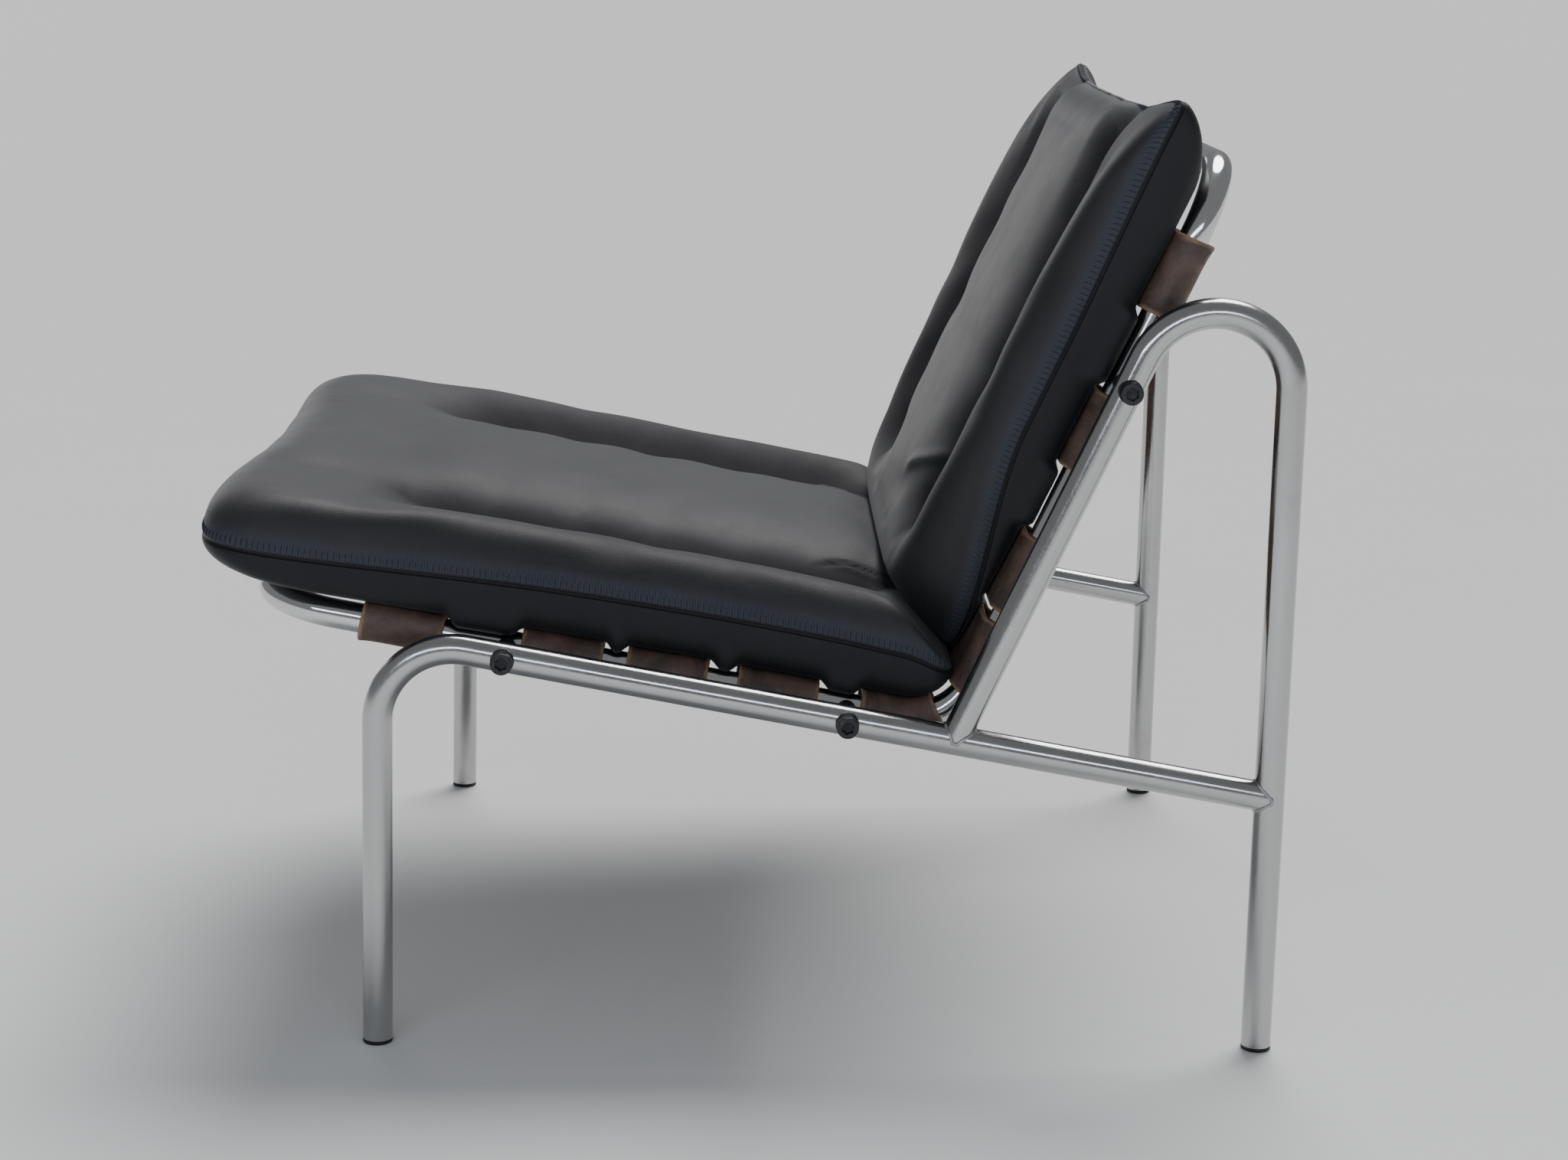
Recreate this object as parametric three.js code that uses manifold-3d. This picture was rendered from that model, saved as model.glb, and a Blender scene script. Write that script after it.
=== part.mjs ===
// A lounge chair: two bent tube side frames, a bolted sling ring with leather straps, two loose cushions.
// Millimetres, +X to one side, +Y to the rear, +Z up, standing on Z = 0.

import * as THREE from 'three';
import { ParametricGeometry } from 'three/addons/geometries/ParametricGeometry.js';
import { mergeGeometries, mergeVertices } from 'three/addons/utils/BufferGeometryUtils.js';
import Module from 'manifold-3d';

// Tube stock, one size for the whole chair
const tubeDiameter = 22;
const tubeWall = 2;
const bendRadius = 55;

// Side frame, on tube centre lines
const frameWidth = 638;
const footSpread = 652.5;
const railWeldHeight = 194.6;
const cornerSetIn = 231.5;
const frontLegSplayDegrees = 1.02;
const railDropDegrees = 10.19;
const backRakeDegrees = 24.28;

// Sling ring, on tube centre lines, from the corner between rail and back tube
const ringInset = 35;
const seatReach = 511;
const backReach = 448.5;

// Bolted joints: back from where the rail and the back tube start to bend, and out from that corner
const frontBoltSetBack = 44.7;
const rearBoltReach = 78.9;
const backBoltSetBack = 24.5;
const screwDiameter = 10;
const screwLength = 50;
const headDiameter = 16;
const headHeight = 10;
const headChamfer = 1;
const socketAcrossFlats = 8;
const socketDepth = 5;
const screwHoleDiameter = 11;
const washerDiameter = 16;
const washerCrest = 0.8;
const spacerDiameter = 16;
const insertDiameter = 13;
const insertLength = 12;

// Sling straps
const strapThickness = 4;
const strapSag = 9;
const strapLap = 44;
const lapSetIn = 40;
// Start and end of each strap, as shares of the bay of the sling between the ring's end bends and the bolts
const frontBayStraps = [[0.158, 0.669]];
const middleBayStraps = [[0.0065, 0.261], [0.34, 0.5945], [0.6855, 0.94]];
const bendBayStraps = [[0.0062, 0.1865], [0.2538, 0.4341], [0.4572, 0.6375], [0.8085, 0.9888]];
const topBayStraps = [[0.441, 1.025]];

// Glides in the tube ends
const glideHeight = 3;
const glideChamfer = 0.8;
const glideStem = 14;
const glideFit = 0.5;

// Seat cushion, heights above the rail's centre line
const cushionFrontOverhang = 49;
const cushionCornerPull = 12;
const cushionCornerRound = 15;
const seatFrontHalfWidth = 312;
const seatRearHalfWidth = 300;
const seatDrawIn = 15;
const seatSeamHeight = 43.5;
const seatSeamRise = 5;
const seatRearSeamHeight = 42;
const seatCrown = 86;
const seatChannelStart = 40;
const seatChannelEnd = 462;

// Back cushion, heights in front of the back tube's centre line
const backTopRise = 20.5;
const backEarRise = 10;
const backTopHalfWidth = 311;
const backWaistHalfWidth = 285;
const backFootHalfWidth = 222;
const backSeamHeight = 55;
const backFootSeamHeight = 17;
const backSeamBend = 250;
const backCrown = 88;
const backFoot = 40;
const backFootTiltDegrees = 24.4;
const backChannelStart = 100;
const backChannelEnd = 462;

// Sewn channels in both cushions
const channelSpacing = 340;
const channelDepth = 19;
const channelHalfWidth = 25;
const channelFade = 60;

// Fullness of the stuffed edges: the higher, the squarer; the back cushion's foot is rounded in plan
const upperEdgePower = 10;
const upperEndPower = 12;
const lowerEdgePower = 14;
const lowerEndPower = 16;
const edgeRootPower = 1 / 3;
const backFootRoundShare = 0.5;
const cornerPower = 9;
// A side draws in fast from the rear and slowly from the front
const drawRisePower = 0.6;
const drawFallPower = 1.4;

// Stations of the cushions' surfaces, closer at the channels and at the edges
const channelShare = 0.58;
const acrossShares = [0, 0.2, 0.38, 0.48, 0.535, 0.58, 0.625, 0.68, 0.78, 0.88, 0.945, 0.985, 1];
const alongShares = [0, 0.008, 0.03, 0.07, 0.13, 0.18, 0.24, 0.34, 0.45, 0.56, 0.67, 0.77, 0.84, 0.9, 0.95, 0.985, 1];

// Gap between pieces that seat on each other, and the overrun of a cutter
const seatGap = 0.3;
const overrun = 5;

// Facet counts
const tubeSides = 16;
const boreSides = 12;
const frameBendSteps = 7;
const archBendSteps = 10;
const ringBendSteps = 8;
const ringEndSteps = 6;
const strapWrapSteps = 10;
const strapRunSteps = 6;
const cutterSides = 24;

// Values that follow from the sizes above
const tubeRadius = tubeDiameter / 2;
const boreRadius = tubeRadius - tubeWall;
const frontLegSplay = THREE.MathUtils.degToRad(frontLegSplayDegrees);
const railDrop = THREE.MathUtils.degToRad(railDropDegrees);
const backRake = THREE.MathUtils.degToRad(backRakeDegrees);
const backFootTilt = THREE.MathUtils.degToRad(backFootTiltDegrees);
const slingTurn = Math.PI / 2 + railDrop - backRake;
const bendReach = bendRadius * Math.tan(slingTurn / 2);
const halfBendLength = bendRadius * slingTurn / 2;
const bendSaving = bendReach - halfBendLength;
const halfFrame = frameWidth / 2;
const halfRing = halfFrame - ringInset;
const rearLegY = footSpread / 2;
const cornerY = rearLegY - cornerSetIn;
const cornerZ = railWeldHeight + cornerSetIn * Math.tan(railDrop);
const cushionBase = tubeRadius + seatGap + strapThickness + seatGap;

// Corner of the front leg and rail, and the straight lengths of rail and back tube before their bends
const frontCornerZ = (railWeldHeight + footSpread * Math.tan(railDrop)) / (1 + Math.tan(frontLegSplay) * Math.tan(railDrop));
const frontCornerY = frontCornerZ * Math.tan(frontLegSplay) - rearLegY;
const frontBendReach = bendRadius * Math.tan((Math.PI / 2 + frontLegSplay - railDrop) / 2);
const railStraight = (cornerY - frontCornerY) / Math.cos(railDrop) - frontBendReach;
const archBendReach = bendRadius * Math.tan((Math.PI - backRake) / 2);
const backStraight = cornerSetIn / Math.sin(backRake) - archBendReach;
const frontBoltReach = railStraight - frontBoltSetBack;
const backBoltReach = backStraight - backBoltSetBack;

// Directions in the side view: seat points to the front, back points up, face is the cushion side
const seatDirection = new THREE.Vector3(0, -Math.cos(railDrop), Math.sin(railDrop));
const backDirection = new THREE.Vector3(0, Math.sin(backRake), Math.cos(backRake));
const seatFace = new THREE.Vector3(0, Math.sin(railDrop), Math.cos(railDrop));
const sideways = new THREE.Vector3(1, 0, 0);

const steelMaterial = () => new THREE.MeshStandardMaterial({ color: 0xb9bbbd, roughness: 0.32, metalness: 1 });
const ringMaterial = () => new THREE.MeshStandardMaterial({ color: 0xc8cacc, roughness: 0.18, metalness: 1 });
const blackSteelMaterial = () => new THREE.MeshStandardMaterial({ color: 0x1d1d1f, roughness: 0.5, metalness: 0.6 });
const zincMaterial = () => new THREE.MeshStandardMaterial({ color: 0x9da0a3, roughness: 0.45, metalness: 1 });
const gliderMaterial = () => new THREE.MeshStandardMaterial({ color: 0x151515, roughness: 0.6, metalness: 0 });
const saddleMaterial = () => new THREE.MeshStandardMaterial({ color: 0x5d3323, roughness: 0.55, metalness: 0 });
const leatherMaterial = () => new THREE.MeshStandardMaterial({ color: 0x34322f, roughness: 0.6, metalness: 0 });

const wasm = await Module();
wasm.setup();

// A closed geometry as a solid that can be joined and cut
function solidOf(geometry) {
	const bare = geometry.clone();
	bare.deleteAttribute('normal');
	bare.deleteAttribute('uv');
	const merged = mergeVertices(bare);
	const corners = merged.index.array;
	const triVerts = [];
	for (let i = 0; i < corners.length; i += 3) {
		const [a, b, c] = corners.slice(i, i + 3);
		if (a !== b && b !== c && c !== a) {
			triVerts.push(a, b, c);
		}
	}
	return new wasm.Manifold(new wasm.Mesh({
		numProp: 3,
		vertProperties: new Float32Array(merged.attributes.position.array),
		triVerts: new Uint32Array(triVerts),
	}));
}

function geometryOf(solid) {
	const mesh = solid.getMesh();
	const geometry = new THREE.BufferGeometry();
	geometry.setAttribute('position', new THREE.BufferAttribute(mesh.vertProperties, 3));
	geometry.setIndex(new THREE.BufferAttribute(mesh.triVerts, 1));
	geometry.computeVertexNormals();
	return geometry;
}

function named(name, geometry, material) {
	const mesh = new THREE.Mesh(geometry, material);
	mesh.name = name;
	return mesh;
}

// A point of the side view, along the rail or the back tube from the corner between them
function sidePoint(x, direction, reach) {
	return new THREE.Vector3(x, cornerY, cornerZ).addScaledVector(direction, reach);
}

// A round bar between two points
function barBetween(start, end, radius, sides) {
	const axis = end.clone().sub(start);
	const bar = new THREE.CylinderGeometry(radius, radius, axis.length(), sides);
	bar.applyQuaternion(new THREE.Quaternion().setFromUnitVectors(THREE.Object3D.DEFAULT_UP, axis.normalize()));
	const middle = start.clone().lerp(end, 0.5);
	bar.translate(middle.x, middle.y, middle.z);
	return solidOf(bar);
}

// The outside of a straight stretch of tube as a solid bar, grown by a gap all round
function tubeBar(x, direction, reach, gap) {
	const start = sidePoint(x, direction, reach - bendRadius);
	const end = sidePoint(x, direction, reach + bendRadius);
	return barBetween(start, end, tubeRadius + gap, cutterSides);
}

// Stations round one bend of a tube: a point, the direction of travel and the direction of the face
function bendStations(before, corner, after, face, steps) {
	const incoming = corner.clone().sub(before).normalize();
	const outgoing = after.clone().sub(corner).normalize();
	const turn = incoming.angleTo(outgoing);
	const axis = incoming.clone().cross(outgoing).normalize();
	const start = corner.clone().addScaledVector(incoming, -bendRadius * Math.tan(turn / 2));
	const centre = start.clone().addScaledVector(axis.clone().cross(incoming), bendRadius);
	const stations = [];
	for (let i = 0; i <= steps; i += 1) {
		const angle = turn * i / steps;
		stations.push({
			point: start.clone().sub(centre).applyAxisAngle(axis, angle).add(centre),
			direction: incoming.clone().applyAxisAngle(axis, angle),
			face: face.clone().applyAxisAngle(axis, angle),
		});
	}
	return stations;
}

// A path that is read only at its stations, spaced evenly in its parameter
class StationPath extends THREE.Curve {
	constructor(stations) {
		super();
		this.stations = stations;
	}
	stationAt(t) {
		return this.stations[Math.round(t * (this.stations.length - 1))];
	}
	getPoint(t, target = new THREE.Vector3()) {
		return target.copy(this.stationAt(t).point);
	}
	getTangent(t, target = new THREE.Vector3()) {
		return target.copy(this.stationAt(t).direction);
	}
	getUtoTmapping(u) {
		return u;
	}
}

function sweep(shape, stations, curveSegments) {
	return new THREE.ExtrudeGeometry(shape, {
		steps: stations.length - 1,
		curveSegments,
		extrudePath: new StationPath(stations),
	});
}

// A hollow tube with open ends and one bend
function bentTube(start, corner, end, steps) {
	const section = new THREE.Shape().absarc(0, 0, tubeRadius, 0, Math.PI * 2);
	const bore = new THREE.Path().absarc(0, 0, boreRadius, 0, Math.PI * 2, true);
	section.holes.push(new THREE.Path(bore.getPoints(boreSides / 2)));
	const bend = bendStations(start, corner, end, sideways, steps);
	const first = { point: start, direction: bend[0].direction };
	const last = { point: end, direction: bend[steps].direction };
	return solidOf(sweep(section, [first, ...bend, last], tubeSides / 2));
}

// Everything below the tops of the glides, taken off the foot of a leg
function footCutter(x, y) {
	const size = bendRadius;
	const block = new THREE.BoxGeometry(size, size, size);
	block.translate(x, y, glideHeight + seatGap - size / 2);
	return solidOf(block);
}

// Clearance holes for the screws, right through a side tube
function cutScrewHoles(tube, x, direction, reaches) {
	const half = tubeRadius + overrun;
	return reaches.reduce((cut, reach) => {
		const start = sidePoint(x - half, direction, reach);
		const end = sidePoint(x + half, direction, reach);
		return cut.subtract(barBetween(start, end, screwHoleDiameter / 2, boreSides));
	}, tube);
}

// Front leg and seat rail in one tube, its rear end coped on the rear leg
function frontLegAndRail(side) {
	const x = side * halfFrame;
	const foot = new THREE.Vector3(x, -rearLegY, 0);
	const corner = new THREE.Vector3(x, frontCornerY, frontCornerZ);
	const weld = new THREE.Vector3(x, rearLegY, railWeldHeight);
	const legBelow = weld.clone().setZ(weld.z - bendRadius);
	const legAbove = weld.clone().setZ(weld.z + bendRadius);
	const tube = bentTube(foot, corner, weld, frameBendSteps)
		.subtract(barBetween(legBelow, legAbove, tubeRadius + seatGap, cutterSides))
		.subtract(footCutter(x, -rearLegY));
	return cutScrewHoles(tube, x, seatDirection, [frontBoltReach, rearBoltReach]);
}

// Back tube, arch and rear leg in one tube, its foot coped on the rail
function backArchAndRearLeg(side) {
	const x = side * halfFrame;
	const root = sidePoint(x, backDirection, 0);
	const apexZ = cornerZ + cornerSetIn / Math.tan(backRake);
	const apex = new THREE.Vector3(x, rearLegY, apexZ);
	const foot = new THREE.Vector3(x, rearLegY, 0);
	const tube = bentTube(root, apex, foot, archBendSteps)
		.subtract(tubeBar(x, seatDirection, 0, seatGap))
		.subtract(footCutter(x, rearLegY));
	return cutScrewHoles(tube, x, backDirection, [backBoltReach]);
}

// Stations all round the ring, starting at the middle of its front
function ringStations() {
	const corners = [
		[sidePoint(-halfRing, seatDirection, seatReach), ringEndSteps],
		[sidePoint(-halfRing, seatDirection, 0), ringBendSteps],
		[sidePoint(-halfRing, backDirection, backReach), ringEndSteps],
		[sidePoint(halfRing, backDirection, backReach), ringEndSteps],
		[sidePoint(halfRing, seatDirection, 0), ringBendSteps],
		[sidePoint(halfRing, seatDirection, seatReach), ringEndSteps],
	];
	let face = seatFace;
	return corners.flatMap(([corner, steps], i) => {
		const before = corners[(i + corners.length - 1) % corners.length][0];
		const after = corners[(i + 1) % corners.length][0];
		const stations = bendStations(before, corner, after, face, steps);
		face = stations[steps].face;
		return stations;
	});
}

// A closed round skin along stations that come back to the first one
function closedSkin(stations, radius, sides) {
	const place = (u, v, target) => {
		const angle = 2 * Math.PI * (Math.round(u * sides) % sides) / sides;
		const { point, direction, face } = stations[Math.round(v * stations.length) % stations.length];
		const across = direction.clone().cross(face);
		target.copy(point).addScaledVector(face, radius * Math.cos(angle));
		target.addScaledVector(across, radius * Math.sin(angle));
	};
	return solidOf(new ParametricGeometry(place, sides, stations.length));
}

// Every bolted joint of one side: where it lies on which tube
const boltPlaces = [
	['front', seatDirection, frontBoltReach],
	['middle', seatDirection, rearBoltReach],
	['back', backDirection, backBoltReach],
];

// The ring, one hollow tube closed on itself, with a hole in its outer wall for each insert
function slingRing() {
	const stations = ringStations();
	const bore = closedSkin(stations, boreRadius, boreSides);
	let ring = closedSkin(stations, tubeRadius, tubeSides).subtract(bore);
	for (const side of [-1, 1]) {
		for (const [, direction, reach] of boltPlaces) {
			const start = sidePoint(side * halfRing, direction, reach);
			const end = sidePoint(side * halfFrame, direction, reach);
			ring = ring.subtract(barBetween(start, end, insertDiameter / 2 + seatGap, boreSides));
		}
	}
	return ring;
}

// Height of a strap's middle surface above the ring's centre line, sagging between the two sides
function strapHeight(x) {
	const hang = (1 + Math.cos(Math.PI * Math.min(Math.abs(x) / halfRing, 1))) / 2;
	return tubeRadius + seatGap + strapThickness / 2 - strapSag * hang;
}

// Half of a strap's middle line: run, wrap round the tube, then the lap under the run
function halfStrapLine() {
	const wrapRadius = tubeRadius + seatGap + strapThickness / 2;
	const line = [];
	for (let i = 0; i < strapRunSteps; i += 1) {
		const x = halfRing * i / strapRunSteps;
		line.push(new THREE.Vector2(x, strapHeight(x)));
	}
	const lapX = halfRing - lapSetIn;
	const lapDrop = strapThickness + seatGap;
	const lapStart = new THREE.Vector2(lapX, strapHeight(lapX) - lapDrop);
	const toLap = lapStart.clone().sub(new THREE.Vector2(halfRing, 0));
	const wrapEnd = toLap.angle() + Math.acos(wrapRadius / toLap.length()) - 2 * Math.PI;
	for (let i = 0; i <= strapWrapSteps; i += 1) {
		const angle = THREE.MathUtils.lerp(Math.PI / 2, wrapEnd, i / strapWrapSteps);
		line.push(new THREE.Vector2(halfRing + wrapRadius * Math.cos(angle), wrapRadius * Math.sin(angle)));
	}
	for (const share of [0, 1]) {
		const x = lapX - strapLap * share;
		line.push(new THREE.Vector2(x, strapHeight(x) - lapDrop));
	}
	return line;
}

// The strap's section across the chair, the same all along its width
function strapSection() {
	const half = halfStrapLine();
	const mirrored = half.slice(1).reverse().map((p) => new THREE.Vector2(-p.x, p.y));
	const line = [...mirrored, ...half];
	const offset = (sign) => line.map((point, i) => {
		const before = line[Math.max(i - 1, 0)];
		const after = line[Math.min(i + 1, line.length - 1)];
		const along = after.clone().sub(before).normalize();
		return new THREE.Vector2(-along.y, along.x).multiplyScalar(sign * strapThickness / 2).add(point);
	});
	return new THREE.Shape([...offset(1), ...offset(-1).reverse()]);
}

// Middle line of the sling: distance along it from the middle of the bend, negative to the front
function slingStation(distance) {
	const angle = distance / bendRadius;
	if (Math.abs(distance) >= halfBendLength) {
		const direction = distance < 0 ? seatDirection : backDirection;
		const travel = distance < 0 ? seatDirection.clone().negate() : backDirection;
		return { point: sidePoint(0, direction, Math.abs(distance) + bendSaving), direction: travel };
	}
	const tangent = seatDirection.clone().negate().applyAxisAngle(sideways, angle + slingTurn / 2);
	const inward = sideways.clone().cross(tangent);
	const centre = sidePoint(0, seatDirection, bendReach).addScaledVector(seatFace, bendRadius);
	return { point: centre.addScaledVector(inward, -bendRadius), direction: tangent };
}

// A strap between two distances along the sling, with the ring's own stations where it lies on the bend
function strap([start, end]) {
	const distances = [start];
	for (let i = 0; i <= ringBendSteps; i += 1) {
		const distance = halfBendLength * (2 * i / ringBendSteps - 1);
		if (distance > start && distance < end) {
			distances.push(distance);
		}
	}
	distances.push(end);
	return sweep(strapSection(), distances.map(slingStation), 1);
}

// Start and end of every strap along the sling, from the ring's front to its top
function strapSpans() {
	const clear = spacerDiameter / 2;
	const frontEnd = seatReach - bendRadius - bendSaving;
	const frontBolt = frontBoltReach - bendSaving;
	const rearBolt = rearBoltReach - bendSaving;
	const backBolt = backBoltReach - bendSaving;
	const backEnd = backReach - bendRadius - bendSaving;
	const inBay = (start, end, straps) => straps.map((shares) => shares.map((share) => THREE.MathUtils.lerp(start, end, share)));
	return [
		...inBay(-frontEnd, -frontBolt - clear, frontBayStraps),
		...inBay(clear - frontBolt, -rearBolt - clear, middleBayStraps),
		...inBay(clear - rearBolt, backBolt - clear, bendBayStraps),
		...inBay(backBolt + clear, backEnd, topBayStraps),
	];
}

// Straight steps of a lathe profile, from radius and place along the screw's axis
function turned(profile, sides) {
	return new THREE.LatheGeometry(profile.map(([radius, place]) => new THREE.Vector2(radius, place)), sides);
}

// Stands a turned piece, drawn along +Y with zero on the side tube's centre line, outwards at a joint
function placeAtBolt(solid, side, direction, reach) {
	const outward = new THREE.Vector3(side, 0, 0);
	const turn = new THREE.Quaternion().setFromUnitVectors(THREE.Object3D.DEFAULT_UP, outward);
	const place = sidePoint(side * halfFrame, direction, reach);
	const matrix = new THREE.Matrix4().compose(place, turn, new THREE.Vector3(1, 1, 1));
	return solid.transform(matrix.elements);
}

// Socket cap screw with its hexagon recess
function capScrew() {
	const headBase = tubeRadius + washerCrest + 2 * seatGap;
	const headTop = headBase + headHeight;
	const headRadius = headDiameter / 2;
	const body = solidOf(turned([
		[0, headBase - screwLength],
		[screwDiameter / 2, headBase - screwLength],
		[screwDiameter / 2, headBase],
		[headRadius, headBase],
		[headRadius, headTop - headChamfer],
		[headRadius - headChamfer, headTop],
		[0, headTop],
	], tubeSides));
	const hexRadius = socketAcrossFlats / Math.sqrt(3);
	const hexagon = new THREE.CylinderGeometry(hexRadius, hexRadius, 2 * socketDepth, 6);
	hexagon.translate(0, headTop, 0);
	return body.subtract(solidOf(hexagon));
}

// A turned sleeve whose ends are cut to the tubes that it stands between
function sleeve(outerRadius, innerRadius, low, high) {
	return solidOf(turned([
		[innerRadius, low],
		[outerRadius, low],
		[outerRadius, high],
		[innerRadius, high],
		[innerRadius, low],
	], tubeSides));
}

// Saddle washer, flat under the head and hollowed to the tube
function saddleWasher(side, direction, reach) {
	const face = tubeRadius + seatGap + washerCrest;
	return placeAtBolt(sleeve(washerDiameter / 2, screwHoleDiameter / 2, 0, face), side, direction, reach)
		.subtract(tubeBar(side * halfFrame, direction, reach, seatGap));
}

// Spacer between side tube and ring, hollowed to both
function spacer(side, direction, reach) {
	const ring = sleeve(spacerDiameter / 2, screwHoleDiameter / 2, -ringInset, 0);
	return placeAtBolt(ring, side, direction, reach)
		.subtract(tubeBar(side * halfFrame, direction, reach, seatGap))
		.subtract(tubeBar(side * halfRing, direction, reach, seatGap));
}

// Threaded insert in the ring's outer wall, flush with the tube, its bore clear of the screw's crests
function threadedInsert(side, direction, reach) {
	const top = tubeRadius - ringInset;
	const body = sleeve(insertDiameter / 2, screwDiameter / 2 + seatGap, top - insertLength, top);
	return placeAtBolt(body, side, direction, reach).intersect(tubeBar(side * halfRing, direction, reach, 0));
}

// Glide: a shoe under the tube's end and a stem up its bore
function glide(x, y) {
	const stemRadius = boreRadius - glideFit;
	const geometry = turned([
		[0, 0],
		[tubeRadius - glideChamfer, 0],
		[tubeRadius, glideChamfer],
		[tubeRadius, glideHeight],
		[stemRadius, glideHeight],
		[stemRadius, glideHeight + glideStem],
		[0, glideHeight + glideStem],
	], tubeSides);
	geometry.rotateX(Math.PI / 2);
	geometry.translate(x, y, 0);
	return geometry;
}

// Fullness of a stuffed edge: nothing at the seam, full in the middle
function fullness(share, power) {
	return Math.pow(Math.max(1 - Math.pow(Math.abs(share), power), 0), edgeRootPower);
}

// How strongly a side draws in along its length, one at its most, nearer the rear or the foot
function drawnIn(share) {
	const pull = (place) => Math.pow(place, drawRisePower) * Math.pow(1 - place, drawFallPower);
	return pull(share) / pull(drawRisePower / (drawRisePower + drawFallPower));
}

// Depth of the two sewn channels at a place
function channelDip(x, along, start, end) {
	const smooth = THREE.MathUtils.smoothstep;
	const window = smooth(along, start, start + channelFade) * (1 - smooth(along, end - channelFade, end));
	const offset = (Math.abs(x) - channelSpacing / 2) / channelHalfWidth;
	return channelDepth * window * Math.exp(-offset * offset);
}

// Distance from the middle of the cushion, with the channel at its own place whatever the width there
function acrossPlace(share, halfWidth) {
	const size = Math.abs(share);
	const channel = channelSpacing / 2;
	const inner = channel * size / channelShare;
	const outer = THREE.MathUtils.mapLinear(size, channelShare, 1, channel, halfWidth);
	return Math.sign(share) * (size < channelShare ? inner : outer);
}

// A cushion of two sheets that meet in its seam; place(across, along, upper) gives a point
function cushionGeometry(place) {
	const bothWayShares = [...acrossShares.slice(1).reverse().map((share) => -share), ...acrossShares];
	const across = (t) => bothWayShares[Math.round(t * (bothWayShares.length - 1))];
	const along = (t) => alongShares[Math.round(t * (alongShares.length - 1))];
	const upper = (u, v, target) => target.copy(place(across(u), along(v), true));
	const lower = (u, v, target) => target.copy(place(across(v), along(u), false));
	return mergeGeometries([
		new ParametricGeometry(upper, bothWayShares.length - 1, alongShares.length - 1),
		new ParametricGeometry(lower, alongShares.length - 1, bothWayShares.length - 1),
	]);
}

// Surface of the sagging sling that a cushion lies on, which curves up where the ring bends
function slingSurface(x, reach, farReach) {
	const sag = tubeRadius + seatGap + strapThickness / 2 - strapHeight(x);
	const fade = THREE.MathUtils.smoothstep(reach, farReach - bendRadius, farReach - tubeDiameter);
	const base = cushionBase - sag * (1 - fade);
	const depth = bendRadius - base;
	const inset = Math.max(bendReach - reach, 0);
	return bendRadius - Math.sqrt(Math.max(depth * depth - inset * inset, 0));
}

// The plane where the back cushion stands on the seat cushion, seen from the back and from the seat
function meetingOverBack(reach) {
	return cushionBase + (reach - backFoot) / Math.tan(backFootTilt);
}

function meetingOverSeat(reach) {
	const lean = backRake - railDrop;
	const startReach = cushionBase * Math.cos(lean) - backFoot * Math.sin(lean);
	const startHeight = backFoot * Math.cos(lean) + cushionBase * Math.sin(lean);
	const tilt = lean + backFootTilt;
	return startHeight + (reach - startReach) * Math.tan(tilt) - seatGap / Math.cos(tilt);
}

// Height of a cushion's upper or lower sheet, held to the seam, to the sling and to the other cushion
function sheetHeight(upper, { seam, crown, dip, sling, meeting, x, half, b }) {
	const middleShare = 2 * b - 1;
	if (upper) {
		const swell = fullness(x / half, upperEdgePower) * fullness(middleShare, upperEndPower);
		return Math.min(seam + (crown - seam - dip) * swell, Math.max(meeting, seam));
	}
	const swell = fullness(x / half, lowerEdgePower) * fullness(middleShare, lowerEndPower);
	return Math.max(seam + (sling.flat - seam) * swell, Math.min(sling.bent, seam));
}

// Seat cushion, in a frame with y to the rear along the rail and z off it
function seatCushion() {
	const depth = bendRadius - cushionBase;
	const rise = bendRadius - seatRearSeamHeight;
	const rear = bendReach - Math.sqrt(depth * depth - rise * rise);
	const front = seatReach + cushionFrontOverhang;
	const place = (a, b, upper) => {
		const fromRear = 1 - b;
		const drawn = drawnIn(fromRear);
		const straightHalf = THREE.MathUtils.lerp(seatRearHalfWidth, seatFrontHalfWidth, fromRear);
		const round = cushionCornerRound * Math.pow(Math.abs(a * (2 * b - 1)), cornerPower);
		const half = straightHalf - seatDrawIn * drawn - round;
		const x = acrossPlace(a, half);
		const pulled = front + cushionCornerPull * a * a;
		const reach = THREE.MathUtils.lerp(rear, pulled - round, fromRear);
		const seamShare = THREE.MathUtils.smoothstep(reach, rear, bendReach);
		const edgeSeam = seatSeamHeight + seatSeamRise * drawn;
		const height = sheetHeight(upper, {
			seam: THREE.MathUtils.lerp(seatRearSeamHeight, edgeSeam, seamShare),
			crown: seatCrown,
			dip: channelDip(x, reach, seatChannelStart, seatChannelEnd),
			sling: {
				flat: slingSurface(x, Math.max(reach, bendReach), seatReach),
				bent: slingSurface(x, reach, seatReach),
			},
			meeting: meetingOverSeat(reach),
			x,
			half,
			b,
		});
		return new THREE.Vector3(x, -reach, height);
	};
	return cushionGeometry(place);
}

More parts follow.
